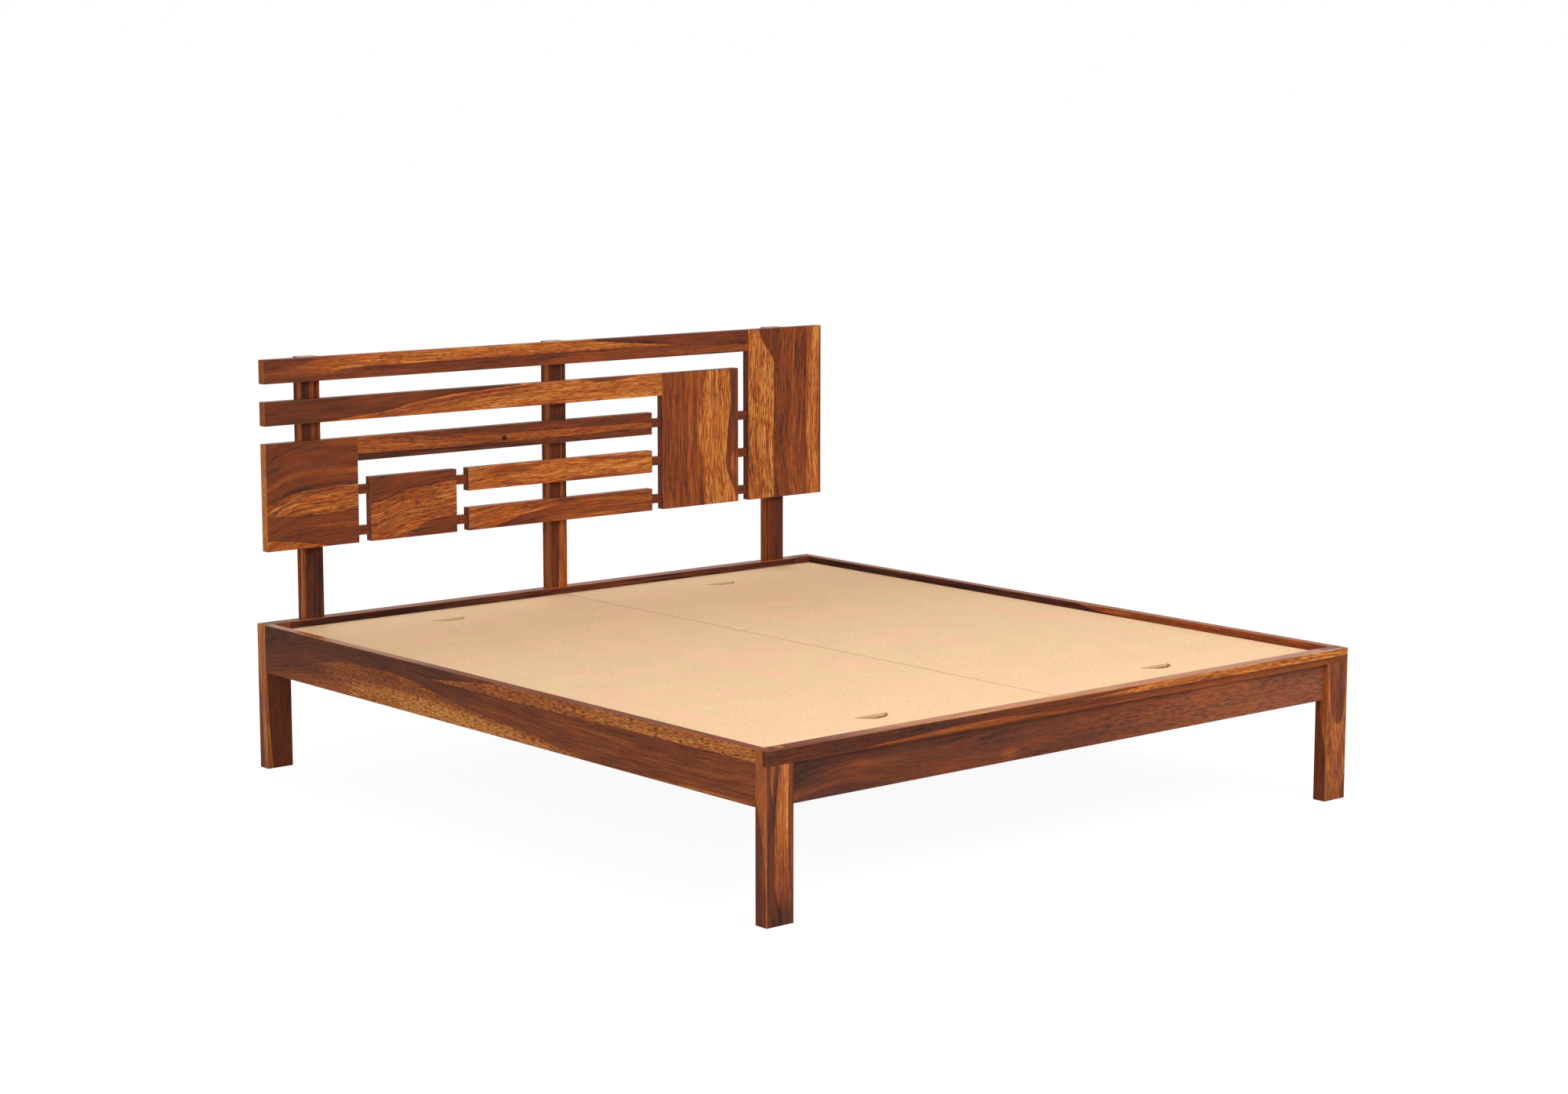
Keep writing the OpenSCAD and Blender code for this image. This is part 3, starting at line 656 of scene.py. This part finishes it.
leftPanel = {
    "node": "left_panel", "grain": "x", "seed": 21.0, "tone": 0.29, "streak": 0.2, "fleck": 0.16,
    "end": 0.85,
    "flow": [(-952, -36), (-923, -26), (-894, -14), (-865, -7), (-837, -3), (-779, 0), (-671, 4)],
    "bands": [
        band(0.35, 0.2, soft=9, start=-940, low=[(-952, 790), (-860, 810), (-671, 800)],
             high=[(-952, 826), (-860, 838), (-671, 822)]),
        band(0.4, 0.2, soft=8, start=-840, fade=110, low=[(-840, 858), (-760, 846), (-671, 838)]),
        band(0.2, soft=8, end=-820, fade=90, low=768, high=[(-952, 790), (-900, 800), (-840, 802)]),
        band(0.44, 0.25, 0.14, soft=6,
             low=[(-952, 732), (-917, 748), (-894, 759), (-865, 766), (-808, 771), (-721, 772),
                  (-671, 769)],
             high=[(-952, 742), (-917, 762), (-894, 774), (-865, 780), (-808, 785), (-721, 786),
                   (-671, 782)]),
        band(0.15, 0.2, soft=4, start=-930,
             low=[(-952, 692), (-923, 703), (-894, 716), (-865, 724), (-837, 729), (-779, 733),
                  (-671, 738)],
             high=[(-952, 706), (-923, 716), (-894, 730), (-865, 738), (-837, 742), (-779, 746),
                   (-671, 749)]),
        band(0.5, 0.75, 0.5, line=0.6, low=[(-952, 673), (-930, 669), (-671, 670)],
             high=[(-952, 697), (-923, 707), (-894, 719), (-865, 727), (-837, 731), (-779, 735),
                   (-671, 740)]),
        band(0.6, 0.75, 0.5, soft=7, start=-810, fade=110, low=[(-810, 690), (-671, 684)],
             high=[(-810, 718), (-671, 726)]),
        band(0.44, 0.4, soft=4, start=-840, fade=80, low=[(-837, 634), (-750, 629), (-671, 624)],
             high=[(-837, 638), (-750, 641), (-671, 637)]),
        band(0.66, 0.45, 0.3, line=0.5,
             high=[(-952, 610), (-894, 604), (-842, 596), (-785, 585), (-740, 576), (-671, 560)]),
    ],
}
smallBlock = {
    "node": "small_block", "grain": "x", "seed": 26.0, "tone": 0.29, "streak": 0.3, "fleck": 0.12,
    "end": 0.42,
    "flow": [(-633, -20), (-579, -8), (-539, 4), (-481, 10), (-429, 14), (-358, 20)],
    "bands": [
        band(0.2, soft=8, end=-540, low=700),
        band(0.55, 0.5, 0.5, line=0.9,
             high=[(-640, 683), (-602, 685), (-579, 692), (-562, 699), (-539, 708), (-516, 713),
                   (-481, 717), (-458, 715), (-429, 720), (-400, 723), (-358, 724)]),
        band(0.29, line=0.6,
             high=[(-640, 560), (-530, 576), (-516, 584), (-493, 596), (-476, 607), (-458, 615),
                   (-435, 621), (-400, 624), (-358, 624)]),
    ],
}
heartwoodEdge = [(579, 632), (602, 623), (626, 614), (649, 604), (672, 592), (689, 587), (712, 587),
                 (770, 592), (828, 600), (857, 606), (915, 606), (971, 602)]
tallBlock = {
    "node": "tall_block", "grain": "z", "seed": 31.0, "tone": 0.43, "streak": 0.5, "fleck": 0.26,
    "end": 0.2, "wander": 5,
    "flow": [(579, 5), (640, 2), (700, -3), (770, 0), (971, 0)],
    "bands": [
        band(0.33, 0.45, soft=8, high=[(660, 340), (700, 366), (971, 374)]),
        band(0.5, 0.6, 0.2, soft=14, low=438, high=500),
        band(0.66, soft=1, start=660, end=840, fade=40, low=[(660, 432), (840, 418)],
             high=[(660, 435), (840, 420)]),
        band(0.75, 0.5, 0.5, soft=4, low=[(579, 506), (690, 500), (800, 486), (880, 492), (971, 516)],
             high=heartwoodEdge),
        band(0.2, soft=4, end=700, low=[(579, 488), (690, 486)], high=[(579, 504), (690, 492)]),
        band(0.27, fleck=0.04, line=0.6, low=heartwoodEdge),
        band(0.5, 0.7, 0.2, soft=5, start=640, end=745, fade=40,
             low=[(640, 616), (690, 604), (745, 612)]),
    ],
}
rightPanel = {
    "node": "right_panel", "grain": "z", "seed": 37.0, "tone": 0.75, "streak": 0.6, "fleck": 0.6,
    "end": 0.2, "wander": 2.5,
    "flow": [(579, 12), (660, 2), (720, -4), (860, 0), (960, -3), (1080, 5)],
    "bands": [
        band(0.6, 0.6, 0.6, soft=16, end=860, fade=220, high=724),
        band(0.27, 0.35, soft=3, line=0.5, start=950,
             low=[(900, 785), (985, 769), (1015, 750), (1035, 733), (1055, 722), (1080, 712)]),
        band(0.33, 0.4, 0.3, soft=0.6, line=0.35, low=770, high=890),
        band(0.43, 0.6, 0.3, soft=7, low=832, high=896),
        band(0.77, 0.6, 0.34, soft=4, low=896, high=948),
        band(0.5, 0.5, soft=4, low=944),
    ],
    "knots": [(1006, 762, 14, 8, 0.8)],
    "narrow": {
        "tone": 0.22, "streak": 0.3,
    },
}
for board in (leftPanel, smallBlock, tallBlock, rightPanel):
    finishBoard(board)


# ties between the boards

for name, seed in (("third_row_ties", 41.0), ("fourth_row_ties", 43.0), ("fifth_row_ties", 47.0)):
    finishBoard({"node": name, "grain": "x", "seed": seed, "tone": 0.28, "streak": 0.2, "fleck": 0.05})


# posts and head rail

leftPost = {
    "node": "post_left", "grain": "z", "seed": 51.0, "tone": 0.11, "streak": 0.16,
    "end": 0.95, "gloss": 0.05, "polish": 1000,
    "bands": [
        band(0.46, 0.6, soft=4, start=560, low=-800, high=-786),
        band(0.5, 0.6, soft=3, start=560, low=-779),
    ],
    "narrow": {
        "tone": 0.3, "streak": 0.5,
        "bands": [
            band(0.68, 0.6, soft=5, low=1008, high=1026),
        ],
    },
}
middlePost = {
    "node": "post_middle", "grain": "z", "seed": 53.0, "tone": 0.15, "streak": 0.16,
    "end": 0.95, "gloss": 0.05, "polish": 1000,
    "bands": [
        band(0.55, 0.6, 0.25, soft=2, low=[(385, -2), (579, 2), (700, 8), (1080, 12)],
             high=[(385, 40), (579, 40), (640, 20), (1080, 18)]),
    ],
    "narrow": {
        "tone": 0.34, "streak": 0.6,
        "bands": [
            band(0.6, 0.5, soft=5, low=1008, high=1028),
        ],
    },
}
rightPost = {
    "node": "post_right", "grain": "z", "seed": 57.0, "tone": 0.22, "streak": 0.16,
    "end": 0.95, "gloss": 0.05, "polish": 1000,
    "narrow": {
        "tone": 0.6, "streak": 0.5, "fleck": 0.2,
        "bands": [
            band(0.26, 0.4, soft=4, low=1003, high=1014),
        ],
    },
}
headRail = {
    "node": "head_rail", "grain": "x", "seed": 59.0, "tone": 0.16, "fleck": 0.05,
    "gloss": 0.03,
    "polish": [(-1003, 260), (0, 420), (700, 540), (1003, 800)],
    "bands": [
        band(0.28, 0.4, soft=12, low=300, high=340),
        band(0.06, 0.4, soft=6, low=360),
        band(0.16, 0.4, soft=6, start=-500, fade=500, low=360),
    ],
    "narrow": {
        "tone": 0.58, "streak": 0.35,
        "bands": [
            band(0.62, 0.35, start=-300, fade=800),
        ],
    },
}
for board in (leftPost, middlePost, rightPost, headRail):
    finishBoard(board)


# legs

nearLeg = {
    "node": "foot_leg_left", "grain": "z", "seed": 61.0, "tone": 0.15, "streak": 0.3, "fleck": 0.08,
    "finer": 1.2, "wander": 4,
    "bands": [
        band(0.58, 0.5, line=0.5, start=255, fade=10,
             low=[(240, -936), (268, -935), (300, -940), (351, -943)],
             high=[(240, -940), (268, -933), (300, -932), (351, -930)]),
        band(0.2, soft=4, end=385, low=[(0, -935), (385, -930)]),
        band(0.5, 0.4, 0.36, line=0.7,
             low=[(0, -910), (40, -920), (67, -928), (135, -931), (203, -931), (271, -927), (317, -922),
                  (353, -917), (385, -915)],
             high=[(0, -879), (67, -882), (112, -886), (135, -888), (385, -888)]),
        band(0.72, 0.35, 0.24, soft=6, start=110, fade=120,
             low=[(110, -915), (203, -924), (271, -921), (353, -910)],
             high=[(0, -881), (135, -890), (385, -890)]),
        band(0.86, fleck=0.2, soft=4, start=180, fade=80, low=-902,
             high=[(0, -880), (155, -889), (385, -889)]),
        band(0.31, 0.4, low=[(0, -878), (67, -881), (112, -885), (135, -887), (385, -887)]),
        band(0.17, 0.25, end=112, fade=104),
    ],
    "narrow": {
        "tone": 0.62, "streak": 0.35, "fleck": 0.25,
        "bands": [
            band(0.22, line=0.5,
                 low=[(0, -1037.5), (67, -1036), (135, -1033), (194, -1024), (262, -1010), (300, -1000),
                      (385, -990)]),
        ],
    },
}
rightLeg = {
    "node": "foot_leg_right", "grain": "z", "seed": 67.0, "tone": 0.71, "streak": 0.26, "fleck": 0.48,
    "wander": 4,
    "bands": [
        band(0.56, fleck=0.4, soft=12, end=105, fade=80),
        band(0.56, fleck=0.4, soft=2, line=0.25, start=50, fade=10,
             low=[(50, 914), (70, 900), (110, 888), (180, 880)],
             high=[(50, 918), (70, 930), (110, 942), (180, 950)]),
        band(0.72, fleck=0.4, soft=2, line=0.35, start=120, fade=6,
             low=[(120, 914), (130, 903), (160, 893), (200, 886), (262, 881), (385, 880)],
             high=[(120, 918), (130, 927), (160, 937), (200, 944), (262, 949), (385, 950)]),
        band(0.48, fleck=0.25, soft=4, start=188, fade=20,
             low=[(150, 916), (190, 905), (230, 895), (262, 889), (300, 884), (385, 880)],
             high=[(150, 920), (190, 930), (230, 941), (262, 945), (300, 948), (385, 950)]),
        band(0.31, 0.28, 0.18, soft=3, line=0.2,
             low=[(194, 926), (196, 917), (204, 909), (215, 903), (235, 898), (262, 894), (300, 890),
                  (385, 886)],
             high=[(194, 912), (196, 927), (204, 933), (215, 937), (235, 940), (262, 942), (300, 944),
                   (385, 946)]),
        band(0.4, 0.4, 0.2, soft=6, start=262, fade=70, low=[(262, 894), (385, 886)],
             high=[(262, 912), (385, 930)]),
        band(0.34, soft=3, line=0.4, end=74, fade=10, low=[(0, 936), (30, 940), (60, 948), (70, 956)]),
    ],
    "knots": [(123, 911, 7, 9, 0.4)],
    "narrow": {
        "tone": 0.28, "streak": 0.22,
        "bands": [
            band(0.58, 0.4, line=0.4,
                 high=[(0, -1041), (61, -1040), (112, -1038.5), (158, -1032), (190, -1024), (258, -1018),
                       (385, -1006)]),
        ],
    },
}
headLegLeft = {
    "node": "head_leg_left", "grain": "z", "seed": 71.0, "tone": 0.31, "streak": 0.2, "fleck": 0.2,
    # a faint painted sheen all over this leg
    "wander": 4, "paintedSheen": 60,
    "bands": [
        band(0.85, 0.5, 0.2, high=[(0, -934), (80, -942), (258, -948), (385, -950)]),
        band(0.42, 0.4, soft=3, low=-882),
    ],
    "narrow": {
        "tone": 0.74, "streak": 0.45, "fleck": 0.25,
        "bands": [
            band(0.36, soft=5,
                 low=[(0, 1020), (60, 1022), (120, 1026), (222, 1034), (300, 1044), (385, 1050)]),
        ],
    },
}
headLegRight = {
    "node": "head_leg_right", "grain": "z", "seed": 73.0, "tone": 0.25, "streak": 0.3,
    "bands": [
        band(0.62, 0.4, 0.3, line=0.5, low=[(0, 905), (150, 915), (385, 930)]),
    ],
    "narrow": {
        "tone": 0.4, "streak": 0.4, "fleck": 0.15,
    },
}
for board in (nearLeg, rightLeg, headLegLeft, headLegRight):
    finishBoard(board)


# rails and cap strip

leftRail = {
    "node": "side_rail_left", "grain": "y", "seed": 79.0, "tone": 0.34, "streak": 0.34, "fleck": 0.16,
    "gloss": 0.09, "ochre": 0.1, "finer": 1.4,
    "flow": [(-1003, 10), (-400, 0), (0, 30), (400, 62), (700, 60), (1003, 20)],
    "polish": [(-1003, 0), (80, 0), (320, 440), (1003, 440)],
    "bands": [
        band(0.18, 0.14, 0.16, soft=5, start=-150, fade=400, low=[(-1003, 346), (1003, 290)]),
        band(0.44, 0.45, soft=5, start=-660, end=-200, fade=120, low=[(-632, 318), (-252, 312)],
             high=[(-632, 328), (-252, 334)]),
        band(0.42, 0.4, soft=5, start=-1003, end=-560, fade=120, low=[(-1003, 292), (-560, 308)],
             high=[(-1003, 302), (-560, 316)]),
        band(0.5, fleck=0.6, soft=4, line=0.4,
             high=[(-1003, 240), (-430, 257), (-340, 270), (-164, 288), (-70, 297), (47, 308),
                   (164, 321), (281, 334), (400, 346), (600, 344), (700, 330), (808, 308), (900, 290),
                   (1003, 270)]),
        band(0.72, 0.24, 0.82, soft=14, start=-460, end=800, fade=260,
             high=[(-460, 262), (-164, 282), (164, 298), (500, 302), (800, 278)]),
        band(0.8, 0.24, 0.82, soft=10, start=-300, end=480, fade=200,
             high=[(-300, 268), (100, 285), (300, 285), (480, 270)]),
        band(0.27, 0.2, 0.14, soft=16, start=620, fade=200, low=250, high=[(640, 330), (1003, 306)]),
        band(0.4, 0.25, 0.25, soft=12, start=620, fade=160, low=250, high=[(620, 300), (1003, 278)]),
        band(0.54, 0.25, 0.4, soft=8, start=560, end=900, fade=110, high=[(560, 300), (900, 278)]),
        band(0.68, 0.26, 0.78, line=0.6,
             low=[(-1003, 355), (-400, 353), (0, 352), (252, 352), (300, 352), (1003, 356)],
             high=[(-1003, 402), (-120, 394), (-50, 383), (50, 373), (150, 362), (252, 352), (300, 346),
                   (1003, 340)]),
        band(0.58, 0.26, 0.7, start=-500, fade=200, low=[(-500, 355), (252, 354)],
             high=[(-500, 400), (-120, 392), (-50, 381), (50, 371), (150, 360), (252, 350)]),
        band(0.6, 0.4, 0.2, end=-560, fade=120, high=[(-1003, 264), (-700, 263), (-600, 256)]),
    ],
    "narrow": {
        "tone": 0.4, "streak": 0.35,
        "bands": [
            band(0.8, 0.35, start=180, fade=260),
        ],
    },
}
rightRail = {
    "node": "side_rail_right", "grain": "y", "seed": 83.0, "tone": 0.06, "fleck": 0.05,
    "gloss": 0.07,
    "polish": [(-1003, 160), (1003, 300)],
    "bands": [
        band(0.42, 0.4, 0.2, line=0.2,
             low=[(-1003, 330), (-600, 345), (-200, 372), (0, 400), (1003, 410)]),
        band(0.4, soft=8, high=[(-1003, 262), (0, 292), (600, 300), (1003, 280)]),
    ],
    "narrow": {
        "tone": 0.55, "streak": 0.35,
        "bands": [
            band(0.6, 0.4, 0.2, end=100, fade=500),
        ],
    },
}
footRail = {
    "node": "foot_rail", "grain": "x", "seed": 89.0, "tone": 0.27, "streak": 0.13, "fleck": 0.14,
    "wander": 16,
    "flow": [(-876, -16), (-725, 6), (-560, -6), (-200, 0), (200, 8), (500, -4), (876, 0)],
    # painted sheen, growing towards the right end
    "paintedSheen": [(-876, 0), (0, 10), (500, 70), (876, 140)],
    "polish": [(-876, 0), (-780, 0), (-600, 300), (200, 440), (876, 760)],
    "bands": [
        band(0.39, 0.16, 0.42, soft=20, start=-150, fade=600),
        band(0.17, 0.12, soft=20, end=-300, fade=420, high=330),
        band(0.13, 0.1, end=-640, fade=260),
        band(0.3, soft=7, end=-540, fade=160,
             low=[(-876, 262), (-800, 276), (-725, 281), (-620, 276), (-540, 264)],
             high=[(-876, 280), (-800, 292), (-725, 297), (-620, 292), (-540, 280)]),
        band(0.3, soft=12, start=-860, end=-420, fade=160, low=300, high=326),
        band(0.2, soft=12, start=-520, end=-120, fade=160, low=[(-520, 334), (-120, 306)],
             high=[(-520, 350), (-120, 330)]),
        band(0.56, 0.5, soft=6, start=340, end=660, fade=110, low=329, high=345),
        band(0.47, soft=9, start=-260, end=-180, fade=35, low=262, high=290),
    ],
    "narrow": {
        "tone": 0.3, "streak": 0.35, "fleck": 0.15,
        "bands": [
            band(0.85, 0.35, 0.2, start=-840, fade=420),
        ],
    },
}
capStrip = {
    "node": "foot_strip", "grain": "x", "seed": 97.0, "tone": 0.135, "streak": 0.11, "fleck": 0.12,
    "gloss": 0.05, "wander": 3,
    "polish": [(-952, 0), (-780, 0), (-600, 320), (200, 480), (952, 1000)],
    "bands": [
        band(0.32, 0.25, soft=5, start=-600, fade=900),
        band(0.52, 0.4, 0.14, line=0.2, start=-720, end=330, fade=90, low=353.5,
             high=[(-720, 353), (-600, 358), (-400, 365), (-250, 366), (-150, 362), (0, 358),
                   (330, 357)]),
        band(0.46, 0.4, 0.05, soft=3, start=-160, fade=200, high=[(-200, 358), (952, 361)]),
        band(0.72, 0.42, 0.4, line=0.5, low=[(-952, 388), (-90, 373), (50, 371), (260, 368), (952, 367)],
             high=[(-952, 370), (-90, 372), (50, 375), (170, 380), (280, 390), (952, 392)]),
        band(0.8, 0.42, 0.4, start=380, fade=300, low=367.5),
    ],
    "narrow": {
        "tone": 0.3, "streak": 0.35, "fleck": 0.15,
        "bands": [
            band(0.8, 0.35, 0.2, start=-900, fade=500),
        ],
    },
}
for board in (leftRail, rightRail, footRail, capStrip):
    finishBoard(board)
print("boards finished")


# loose deck boards

deckBoard = {
    "face": (243, 204, 158),
    "blush": (250, 200, 161),  # pinker areas of the face
    "edge": (222, 178, 134),
    "notchShade": (92, 66, 42),  # painted shade low in the finger notches
    "notchShadeHeights": (0.0095, 0.006),  # metres under the face, where the painted shade begins and ends
    "notchShadeShare": (1.0, 0.2),  # how much of it at the foot end and at the head end
    "notchShadeFade": (-0.5, 0.5),  # metres along the bed between which that changes
    "outerRim": 0.01,  # metres along the outer edges and the seam that get no painted shade
    "seamRim": 0.05,
    "mottle": 0.06,  # how much it shades the board
    "mottleNoise": (9.0, 4.0, 0.6),  # waves per metre, detail and roughness
    "fibre": 0.26,
    "fibreNoise": (90.0, 4.0, 0.8),
    "blushNoise": (5.5, 3.0, 0.55),
    "blushSpan": (0.5, 0.9),  # how high that noise is where the blush begins and where it is whole
    "flatter": 3.0,  # so many times more waves through the board
    "bump": (0.4, 0.00012),  # strength, and depth in metres
    "seamWidth": 0.006,  # metres
    "seamShade": 0.84,  # painted shade along the seam
    "roughness": (0.62, 0.74),
    "gloss": 0.25,
}

deckMaterial, deckTree, deckShader = startMaterial("raw fibreboard")
deckPlace = addNode(deckTree, "ShaderNodeTexCoord").outputs
deckX, deckY, deckZ = split(deckTree, deckPlace["Object"])
deckLow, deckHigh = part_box("deck_board_left")
seamPlace = (deckHigh[0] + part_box("deck_board_right")[0][0]) / 2


def deckSpeckle(name):
    waves, detail, roughness = deckBoard[name]
    scale = (waves, waves, waves * deckBoard["flatter"])
    return speckle(deckTree, deckPlace["Object"], scale, detail, roughness)


mottle = deckSpeckle("mottleNoise")
fibre = deckSpeckle("fibreNoise")
blush = ramp(deckTree, deckSpeckle("blushNoise"), *deckBoard["blushSpan"])
seamAway = calc(deckTree, "ABSOLUTE", minus(deckTree, deckX, seamPlace))
outerRim = deckBoard["outerRim"]
alongInside = calc(deckTree, "LESS_THAN", calc(deckTree, "ABSOLUTE", deckY), deckHigh[1] - outerRim)
acrossInside = calc(deckTree, "LESS_THAN", calc(deckTree, "ABSOLUTE", deckX), -deckLow[0] - outerRim)
offSeam = calc(deckTree, "GREATER_THAN", seamAway, deckBoard["seamRim"])
inNotch = times(deckTree, times(deckTree, alongInside, offSeam), acrossInside)
# painted shade low on the notch walls, stronger towards the foot end
notchShadeFrom, notchShadeTo = [deckHigh[2] - depth for depth in deckBoard["notchShadeHeights"]]
notchShade = times(deckTree, ramp(deckTree, deckZ, notchShadeFrom, notchShadeTo, 1.0, 0.0), inNotch)
notchShadeHere = ramp(deckTree, deckY, *deckBoard["notchShadeFade"], *deckBoard["notchShadeShare"])
notchShade = times(deckTree, notchShade, notchShadeHere)
edgeColour = mixColour(deckTree, notchShade, tint(*deckBoard["edge"]), tint(*deckBoard["notchShade"]))
faceColour = mixColour(deckTree, blush, tint(*deckBoard["face"]), tint(*deckBoard["blush"]))
deckUp = split(deckTree, deckPlace["Normal"])[2]
onFace = calc(deckTree, "GREATER_THAN", calc(deckTree, "ABSOLUTE", deckUp), facing)
deckColour = mixColour(deckTree, onFace, edgeColour, faceColour)
shade = plus(deckTree, 1.0 - deckBoard["mottle"] / 2 - deckBoard["fibre"] / 2,
             times(deckTree, mottle, deckBoard["mottle"]))
shade = plus(deckTree, shade, times(deckTree, fibre, deckBoard["fibre"]))
# painted shade along the seam, darkest at it
seamShade = ramp(deckTree, seamAway, 0.0, deckBoard["seamWidth"], deckBoard["seamShade"], 1.0)
shade = times(deckTree, shade, seamShade)
shadeColour = addNode(deckTree, "ShaderNodeCombineColor")
for socket in shadeColour.inputs:
    plug(deckTree, socket, shade)
deckColour = mixColour(deckTree, 1.0, deckColour, shadeColour.outputs[0], "MULTIPLY")
plug(deckTree, deckShader.inputs["Base Color"], deckColour)
plug(deckTree, deckShader.inputs["Roughness"], ramp(deckTree, fibre, 0.0, 1.0, *deckBoard["roughness"]))
deckShader.inputs["Specular IOR Level"].default_value = deckBoard["gloss"]
addBump(deckTree, deckShader, fibre, *deckBoard["bump"])
dress(["deck_board_left", "deck_board_right"], deckMaterial)
print("deck boards finished")


# plain wood under the deck and dowels in the joints

plainWood = {
    "sawn": ((214, 172, 118), (176, 128, 78)),  # pale and dark
    "beech": ((222, 190, 146), (194, 154, 106)),
    "seed": 5.0,
    "streaks": 0.75,  # how much each of these shades the wood
    "clouds": 0.25,
    "pores": 0.2,
    "roughness": (0.62, 0.5),
    "bump": (0.4, 0.0003),  # strength, and depth in metres
}


def finishPlain(names, label, wood, grainAxis):
    material, tree, shader = startMaterial(label)
    pale, dark = [tint(*shade) for shade in plainWood[wood]]
    place = split(tree, addNode(tree, "ShaderNodeTexCoord").outputs["Object"])
    along, across, depth = [place[axis] for axis in grainAxes[grainAxis]]
    grain = placeGroup(tree, grainGroup, Along=along, Across=across, Depth=depth, Seed=plainWood["seed"])
    paleness = plus(tree, times(tree, grain["Streak"], plainWood["streaks"]),
                    times(tree, grain["Cloud"], plainWood["clouds"]), clamp=True)
    colour = mixColour(tree, paleness, dark, pale)
    colour = mixColour(tree, times(tree, grain["Pore"], plainWood["pores"]), colour, dark)
    plug(tree, shader.inputs["Base Color"], colour)
    plug(tree, shader.inputs["Roughness"], ramp(tree, grain["Streak"], 0.0, 1.0, *plainWood["roughness"]))
    addBump(tree, shader, grain["Streak"], *plainWood["bump"])
    dress(names, material)


crossSlats = [name for name in nodes if name.startswith("cross_slat")]
finishPlain(crossSlats + ["beam_rest_head", "beam_rest_foot"], "plain sawn wood along the slats", "sawn", "x")
finishPlain(["side_cleat_left", "side_cleat_right", "centre_beam"], "plain sawn wood along the beam",
            "sawn", "y")
finishPlain(["centre_leg"], "plain sawn wood along the leg", "sawn", "z")
finishPlain(["board_dowels"], "beech dowel across", "beech", "x")
finishPlain(["rail_dowels"], "beech dowel along", "beech", "y")
print("plain wood finished")


# steel, brass and plastic

metal = {
    "fasteners": ((196, 198, 202), (150, 154, 160), (900.0, 900.0, 900.0)),  # bright, dull, grains per metre
    "brackets": ((188, 190, 194), (138, 142, 148), (160.0, 160.0, 40.0)),
    "inserts": ((206, 170, 96), (160, 124, 60), (600.0, 600.0, 600.0)),
    "noise": (3.0, 0.6),  # detail and roughness
    "roughness": (0.48, 0.3),
    "bump": (0.15, 0.0001),  # strength, and depth in metres
}


def finishMetal(names, label, kind):
    material, tree, shader = startMaterial(label)
    bright, dull, scale = metal[kind]
    place = addNode(tree, "ShaderNodeTexCoord").outputs["Object"]
    grains = speckle(tree, place, scale, *metal["noise"])
    plug(tree, shader.inputs["Base Color"], mixColour(tree, grains, tint(*dull), tint(*bright)))
    plug(tree, shader.inputs["Roughness"], ramp(tree, grains, 0.0, 1.0, *metal["roughness"]))
    shader.inputs["Metallic"].default_value = 1.0
    addBump(tree, shader, grains, *metal["bump"])
    dress(names, material)


screws = [name for name in nodes if name.endswith("_screws")]
finishMetal(screws + ["bracket_bolts"], "zinc plated fasteners", "fasteners")
brackets = [name for name in nodes if name.startswith("bracket_") and name != "bracket_bolts"]
finishMetal(brackets + ["centre_leg_plate"], "zinc plated brackets", "brackets")
finishMetal(["bolt_inserts"], "brass inserts", "inserts")
print("metal finished")

glide = {
    "dark": (34, 34, 36),
    "light": (46, 46, 48),
    "grains": (900.0, 900.0, 900.0),  # per metre
    "noise": (2.0, 0.5),  # detail and roughness
    "roughness": (0.42, 0.55),
}

glideMaterial, glideTree, glideShader = startMaterial("moulded plastic glide")
glidePlace = addNode(glideTree, "ShaderNodeTexCoord").outputs["Object"]
glideGrains = speckle(glideTree, glidePlace, glide["grains"], *glide["noise"])
glideColour = mixColour(glideTree, glideGrains, tint(*glide["dark"]), tint(*glide["light"]))
plug(glideTree, glideShader.inputs["Base Color"], glideColour)
plug(glideTree, glideShader.inputs["Roughness"], ramp(glideTree, glideGrains, 0.0, 1.0, *glide["roughness"]))
dress(["centre_leg_glide"], glideMaterial)
print("glide finished")
